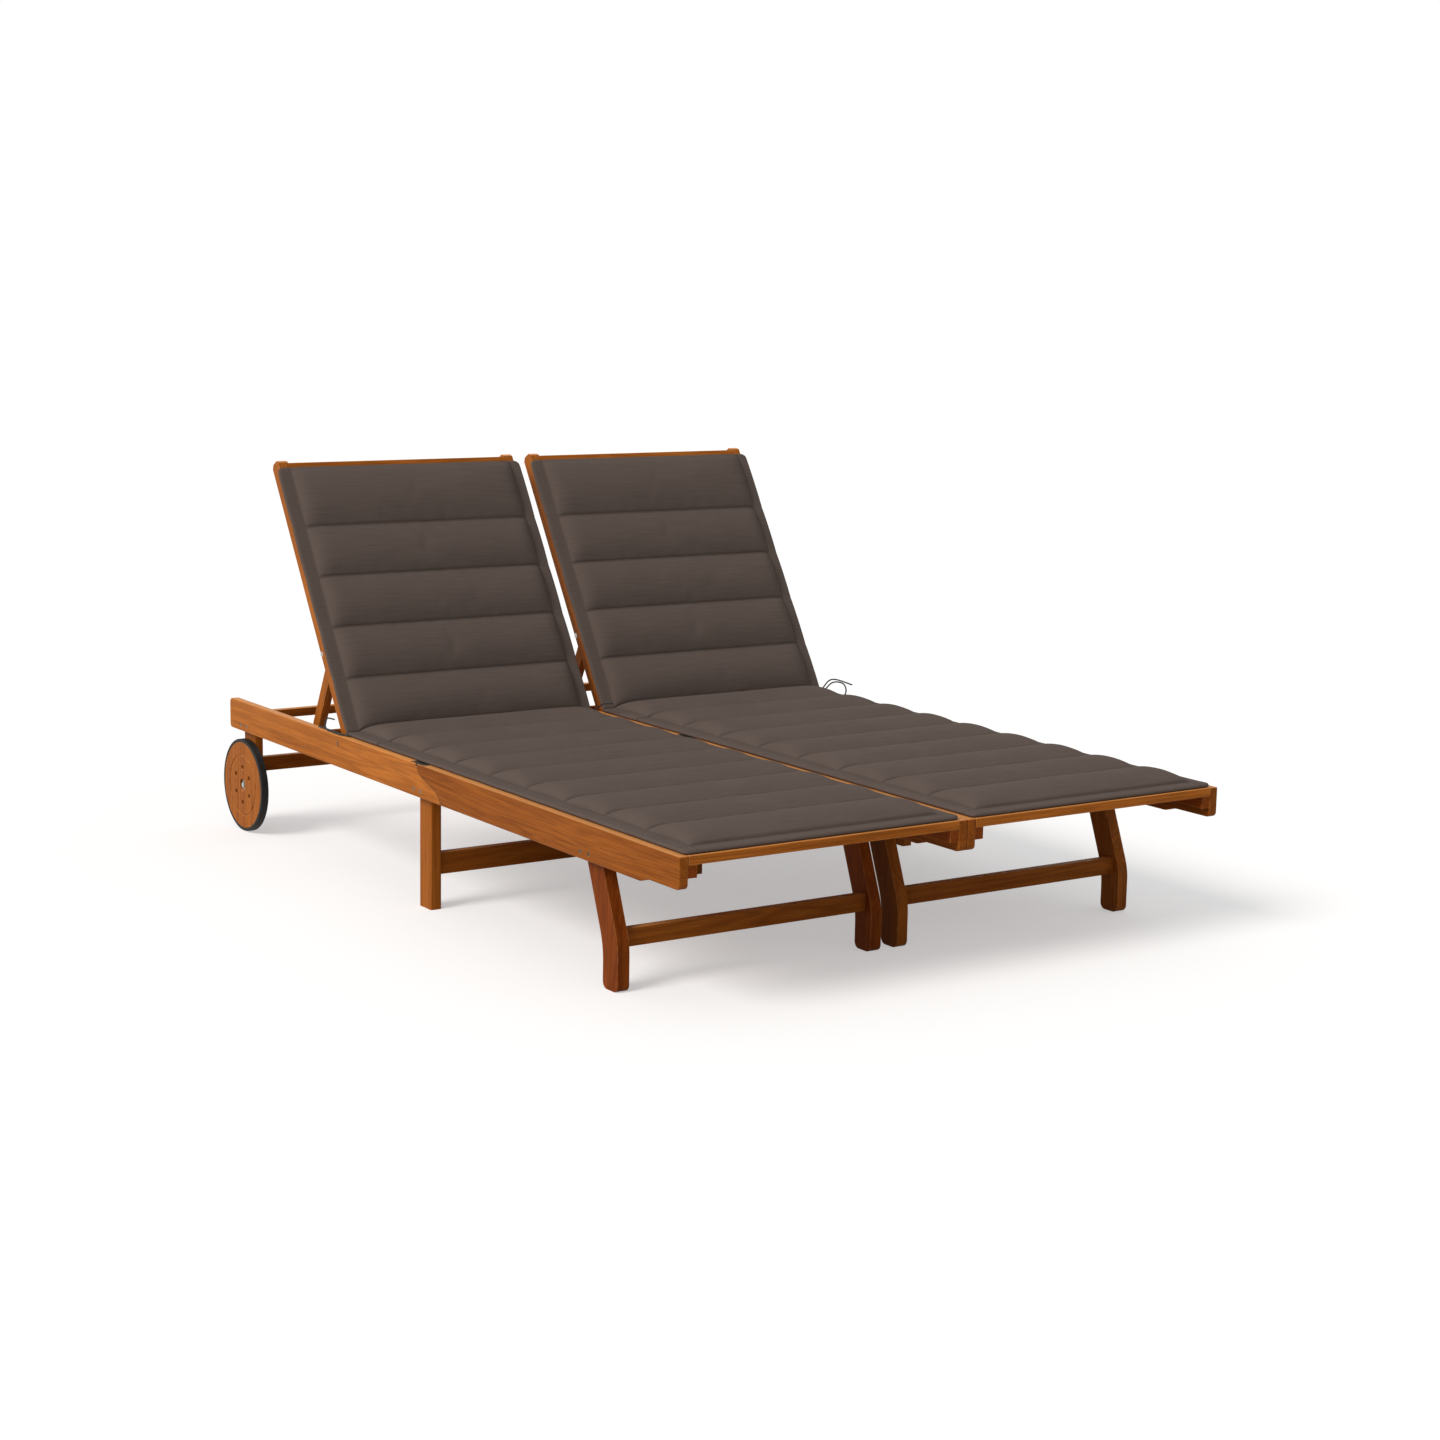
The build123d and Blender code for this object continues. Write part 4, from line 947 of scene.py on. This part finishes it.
class LOUNGER_OT_backrests(bpy.types.Operator):
    """Oils the backrests and their props"""

    bl_idname = "lounger.backrests"
    bl_label = "Backrests and props"

    def execute(self, context):
        looks = settings()
        light, dark = looks.wood_light, looks.wood_dark
        finish(on_both("back_stiles"), wood("Stile wood", ALONG_BACK, light, dark, slide=(0.4, 0.3, 0.8)))
        direction = Vector((0, math.cos(BACK_ANGLE), math.sin(BACK_ANGLE)))
        start = PIVOT.dot(direction) + BACK_SLAT_START - (BACK_SLAT_PITCH - SLAT_WIDTH) / 2
        slats = wood("Back slat wood", ALONG_X, light, dark, board=(direction, start, BACK_SLAT_PITCH))
        finish(on_both("back_top_rail", "back_slats"), slats)
        finish(on_both("prop_frame"), wood("Prop wood", ALONG_PROP, light, dark, slide=(0.6, 0.2, 0.1)))
        return {"FINISHED"}


class LOUNGER_OT_wheels(bpy.types.Operator):
    """Finishes the wheels and their tyres"""

    bl_idname = "lounger.wheels"
    bl_label = "Wheels"

    def execute(self, context):
        looks = settings()
        light, dark = looks.wood_light, looks.wood_dark
        discs = wood("Wheel wood", ALONG_Z, light, dark, figure=0.7, slide=(0.2, 0.5, 0.4))
        finish(on_both("outer_wheel", "inner_wheel"), discs)
        finish(on_both("outer_tyre", "inner_tyre"), rubber())
        return {"FINISHED"}


class LOUNGER_OT_fasteners(bpy.types.Operator):
    """Finishes the screws, bolts and hinges"""

    bl_idname = "lounger.fasteners"
    bl_label = "Screws, bolts and hinges"

    def execute(self, context):
        steel = metal("Zinc plated steel", (0.50, 0.48, 0.44), 0.30, 0.2)
        finish(on_both("prop_bolts") + ["joining_bolts", "wheel_bolts"], steel)
        finish(["backrest_pivot_bolts"], metal("Bronzed steel", (0.26, 0.11, 0.035), 0.50, 0.2))
        dull = metal("Dark hinge steel", (0.10, 0.092, 0.08), 0.42, 0.2)
        finish(on_both("foot_hinge_leaves") + ["fixed_hinge_leaves"], dull)
        return {"FINISHED"}


HEAD = 0.0042
HEAD_HEIGHT = 0.0022
SHANK = 0.0020
SCREW_LENGTH = 0.040
SCREW_SPACING = 0.031
SCREW_RIM = 0.0005
RECESS = (0.0026, 0.0050, 0.0010)
FIRST_TURN, NEXT_TURN = 0.6, 0.9


def rod(radius, start, end, sides):
    """A round rod along X, with its own mesh laid in place."""
    deselect()
    bpy.ops.mesh.primitive_cylinder_add(
        vertices=sides, radius=radius, depth=end - start, location=((start + end) / 2, 0, 0),
        rotation=(0, math.radians(90), 0),
    )
    bpy.ops.object.transform_apply()
    return bpy.context.object


def model_screw():
    """One wood screw along X: a rounded head with a cross recess, and its shank."""
    head = rod(HEAD, -HEAD_HEIGHT, 0, 24)
    apply_modifier(head, "BEVEL", "Rim", width=SCREW_RIM, segments=2, limit_method="ANGLE", angle_limit=1.0)
    for turn in (0, math.radians(90)):
        deselect()
        bpy.ops.mesh.primitive_cube_add(size=1, location=(0, 0, 0), rotation=(turn, 0, 0))
        slot = bpy.context.object
        slot.scale = RECESS
        bpy.ops.object.transform_apply()
        apply_modifier(head, "BOOLEAN", "Recess", object=slot, operation="DIFFERENCE", solver="EXACT")
        bpy.data.objects.remove(slot)
    shank = rod(SHANK, -SCREW_LENGTH, -HEAD_HEIGHT, 12)
    pick(shank)
    pick_more(head)
    bpy.ops.object.join()
    bpy.ops.object.shade_smooth_by_angle(angle=math.radians(35))
    return head


def screw_rows(node):
    """Y places of a node's screws, from its box."""
    low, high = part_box(node)
    first, last = low.y + HEAD, high.y - HEAD
    rows = {first, first + SCREW_SPACING, last - SCREW_SPACING, last}
    return sorted({round(y, 5) for y in rows}), (low.z + high.z) / 2


class LOUNGER_OT_screws(bpy.types.Operator):
    """Drives the cross-head screws that hold the legs to the rails"""

    bl_idname = "lounger.screws"
    bl_label = "Screws"

    def execute(self, context):
        pattern = model_screw()
        steel = metal("Screw steel", (0.22, 0.20, 0.17), 0.34, 0.2)
        homes = [("frame_screws", "frame", (-1, 1))]
        homes += [(f"{side}_foot_screws", f"{side}_foot_section", (sign,)) for side, sign in SIDES.items()]
        for node, body, loungers in homes:
            rows, height = screw_rows(node)
            copies = []
            for middle in loungers:
                for side in (-1, 1):
                    for y in rows:
                        mesh = pattern.data.copy()
                        turn = Matrix.Rotation(FIRST_TURN + len(copies) * NEXT_TURN, 4, "X")
                        about = Matrix.Rotation(0 if side > 0 else math.pi, 4, "Z")
                        place = Matrix.Translation((middle * CENTRE + side * HALF_WIDTH, y, height))
                        mesh.transform(place @ about @ turn)
                        copies.append(add_object(f"{node}_{len(copies) + 1}", mesh))
            deselect()
            for copy in copies:
                pick_more(copy)
            bpy.ops.object.join()
            screws = context.object
            screws.name = f"{node}_driven"
            screws.data.materials.clear()
            screws.data.materials.append(steel)
            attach(screws, body)
            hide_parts(node)
        bpy.data.objects.remove(pattern)
        return {"FINISHED"}


# Stage


CAMERA_PLACE = (-3.1851, -4.8344, 1.3585)
CAMERA_YAW, CAMERA_PITCH, CAMERA_LEAN = 0.597, 0.1722, 0.019
FOCAL_PIXELS, PICTURE_PIXELS = 2645.85, 1440
SENSOR = 36
FLOOR_GLOW = 0.43
KEY_SPREAD = math.radians(28)
KEY_FROM = (-0.76, -0.10, 0.64)


def photo_camera():
    """The photograph's own viewpoint, with no shift."""
    yaw, pitch, lean = CAMERA_YAW, CAMERA_PITCH, CAMERA_LEAN
    forward = Vector((math.sin(yaw) * math.cos(pitch), math.cos(yaw) * math.cos(pitch), -math.sin(pitch)))
    level = Vector((math.cos(yaw), -math.sin(yaw), 0))
    upright = level.cross(forward)
    right = level * math.cos(lean) + upright * math.sin(lean)
    up = upright * math.cos(lean) - level * math.sin(lean)
    data = bpy.data.cameras.new("Camera")
    data.sensor_width = SENSOR
    data.sensor_fit = "HORIZONTAL"
    data.lens = FOCAL_PIXELS / PICTURE_PIXELS * SENSOR
    data.clip_end = 100
    camera = add_object("Camera", data)
    turn = Matrix((right, up, -forward)).transposed().to_4x4()
    camera.matrix_world = Matrix.Translation(CAMERA_PLACE) @ turn
    bpy.context.scene.camera = camera


def seen_directly(tree):
    """One for rays from the camera, also by way of a mirror or through glass."""
    path = add_node(tree, "ShaderNodeLightPath")
    seen = calc(tree, "MAXIMUM", path.outputs["Is Camera Ray"], path.outputs["Is Glossy Ray"])
    return calc(tree, "MAXIMUM", seen, path.outputs["Is Transmission Ray"])


def white_floor():
    """A pale floor that keeps the object's shadow."""
    deselect()
    bpy.ops.mesh.primitive_grid_add(x_subdivisions=8, y_subdivisions=8, size=60, location=(0, 0, 0))
    floor = bpy.context.object
    floor.name = "floor"
    material, tree, shader = new_material("Floor")
    wire(tree, shader, {
        "Base Color": (0.62, 0.62, 0.62, 1), "Roughness": 0.9, "Specular IOR Level": 0.0,
        "Emission Color": (1, 1, 1, 1),
        "Emission Strength": calc(tree, "MULTIPLY", seen_directly(tree), FLOOR_GLOW),
    })
    floor.data.materials.append(material)


def plain_light():
    """A white sky that is even all round, and a soft lamp on the wheels' side."""
    world = bpy.data.worlds.new("World")
    bpy.context.scene.world = world
    world.use_nodes = True
    tree = world.node_tree
    tree.nodes.clear()
    soft, plain = (
        add_node(tree, "ShaderNodeBackground", {"Color": (1, 1, 1, 1), "Strength": strength}).outputs[0]
        for strength in (settings().sky_strength, 1.0)
    )
    mix = add_node(tree, "ShaderNodeMixShader", {0: seen_directly(tree), 1: soft, 2: plain})
    out = tree.nodes.new("ShaderNodeOutputWorld")
    tree.links.new(mix.outputs[0], out.inputs["Surface"])
    light = bpy.data.lights.new("Key", "SUN")
    light.energy = settings().key_strength
    light.angle = KEY_SPREAD
    light.color = (1.0, 0.97, 0.93)
    add_object("Key", light).rotation_euler = Vector(KEY_FROM).to_track_quat("Z", "Y").to_euler()


class LOUNGER_OT_stage(bpy.types.Operator):
    """Sets the camera, floor and lights"""

    bl_idname = "lounger.stage"
    bl_label = "Stage"

    def execute(self, context):
        photo_camera()
        white_floor()
        plain_light()
        context.scene.view_settings.view_transform = "Standard"
        return {"FINISHED"}


LENGTH = {"subtype": "DISTANCE", "unit": "LENGTH"}
COLOUR = {"subtype": "COLOR", "size": 3, "min": 0, "max": 1}


class LoungerLooks(bpy.types.PropertyGroup):
    """Sizes and colours that can be changed before the steps are run"""

    cushion_width: bpy.props.FloatProperty(
        name="Cushion width", description="Width of one cushion with its flat borders",
        default=0.632, **LENGTH,
    )
    cushion_front: bpy.props.FloatProperty(
        name="Cushion from foot end", description="Distance from the rails' foot end to the cushion",
        default=0.004, **LENGTH,
    )
    cushion_back: bpy.props.FloatProperty(
        name="Back cushion reach",
        description="Distance from the backrest's pivot to the cushion's upper end",
        default=0.671, **LENGTH,
    )
    border_width: bpy.props.FloatProperty(
        name="Border width", description="Width of the flat sewn border",
        default=0.030, **LENGTH,
    )
    cushion_crown: bpy.props.FloatProperty(
        name="Channel height", description="Height of a filled channel above the slats",
        default=0.029, **LENGTH,
    )
    cushion_colour: bpy.props.FloatVectorProperty(
        name="Cushion colour", description="Colour of the woven cover",
        default=(0.102, 0.077, 0.066), **COLOUR,
    )
    wood_light: bpy.props.FloatVectorProperty(
        name="Light wood", description="Light streaks of the rails and slats",
        default=(0.48, 0.150, 0.020), **COLOUR,
    )
    wood_dark: bpy.props.FloatVectorProperty(
        name="Dark wood", description="Dark streaks of the rails and slats",
        default=(0.22, 0.055, 0.006), **COLOUR,
    )
    # Painted shade: the leg wood colours are set darker than the wood alone, partly for the wood's own darker
    # tone and partly to stand in for the shade beneath the seats.
    leg_light_and_shade: bpy.props.FloatVectorProperty(
        name="Light leg wood", description="Light streaks of the legs and stretchers",
        default=(0.27, 0.062, 0.007), **COLOUR,
    )
    leg_dark_and_shade: bpy.props.FloatVectorProperty(
        name="Dark leg wood", description="Dark streaks of the legs and stretchers",
        default=(0.110, 0.018, 0.0015), **COLOUR,
    )
    sky_strength: bpy.props.FloatProperty(
        name="Sky", description="Strength of the even light from all round", default=0.50, min=0,
    )
    key_strength: bpy.props.FloatProperty(
        name="Key light", description="Strength of the lamp on the wheels' side", default=2.4, min=0,
    )


class LOUNGER_PT_panel(bpy.types.Panel):
    bl_idname = "LOUNGER_PT_panel"
    bl_label = "Double chaise lounger"
    bl_space_type = "VIEW_3D"
    bl_region_type = "UI"
    bl_category = "Lounger"

    def draw(self, context):
        looks = context.scene.lounger_looks
        for name in LoungerLooks.__annotations__:
            self.layout.prop(looks, name)
        for step in STEPS:
            self.layout.operator(step.bl_idname)


STEPS = [
    LOUNGER_OT_stage, LOUNGER_OT_ties, LOUNGER_OT_rails, LOUNGER_OT_seat, LOUNGER_OT_legs,
    LOUNGER_OT_backrests, LOUNGER_OT_wheels, LOUNGER_OT_fasteners, LOUNGER_OT_screws,
    LOUNGER_OT_cushions,
]
CLASSES = [LoungerLooks, *STEPS, LOUNGER_PT_panel]


def register():
    for kind in CLASSES:
        bpy.utils.register_class(kind)
    bpy.types.Scene.lounger_looks = bpy.props.PointerProperty(type=LoungerLooks)


def unregister():
    del bpy.types.Scene.lounger_looks
    for kind in reversed(CLASSES):
        bpy.utils.unregister_class(kind)


def main():
    register()
    bpy.ops.lounger.stage()
    bpy.ops.lounger.ties()
    bpy.ops.lounger.rails()
    bpy.ops.lounger.seat()
    bpy.ops.lounger.legs()
    bpy.ops.lounger.backrests()
    bpy.ops.lounger.wheels()
    bpy.ops.lounger.fasteners()
    bpy.ops.lounger.screws()
    bpy.ops.lounger.cushions()


if __name__ == "__main__":
    main()
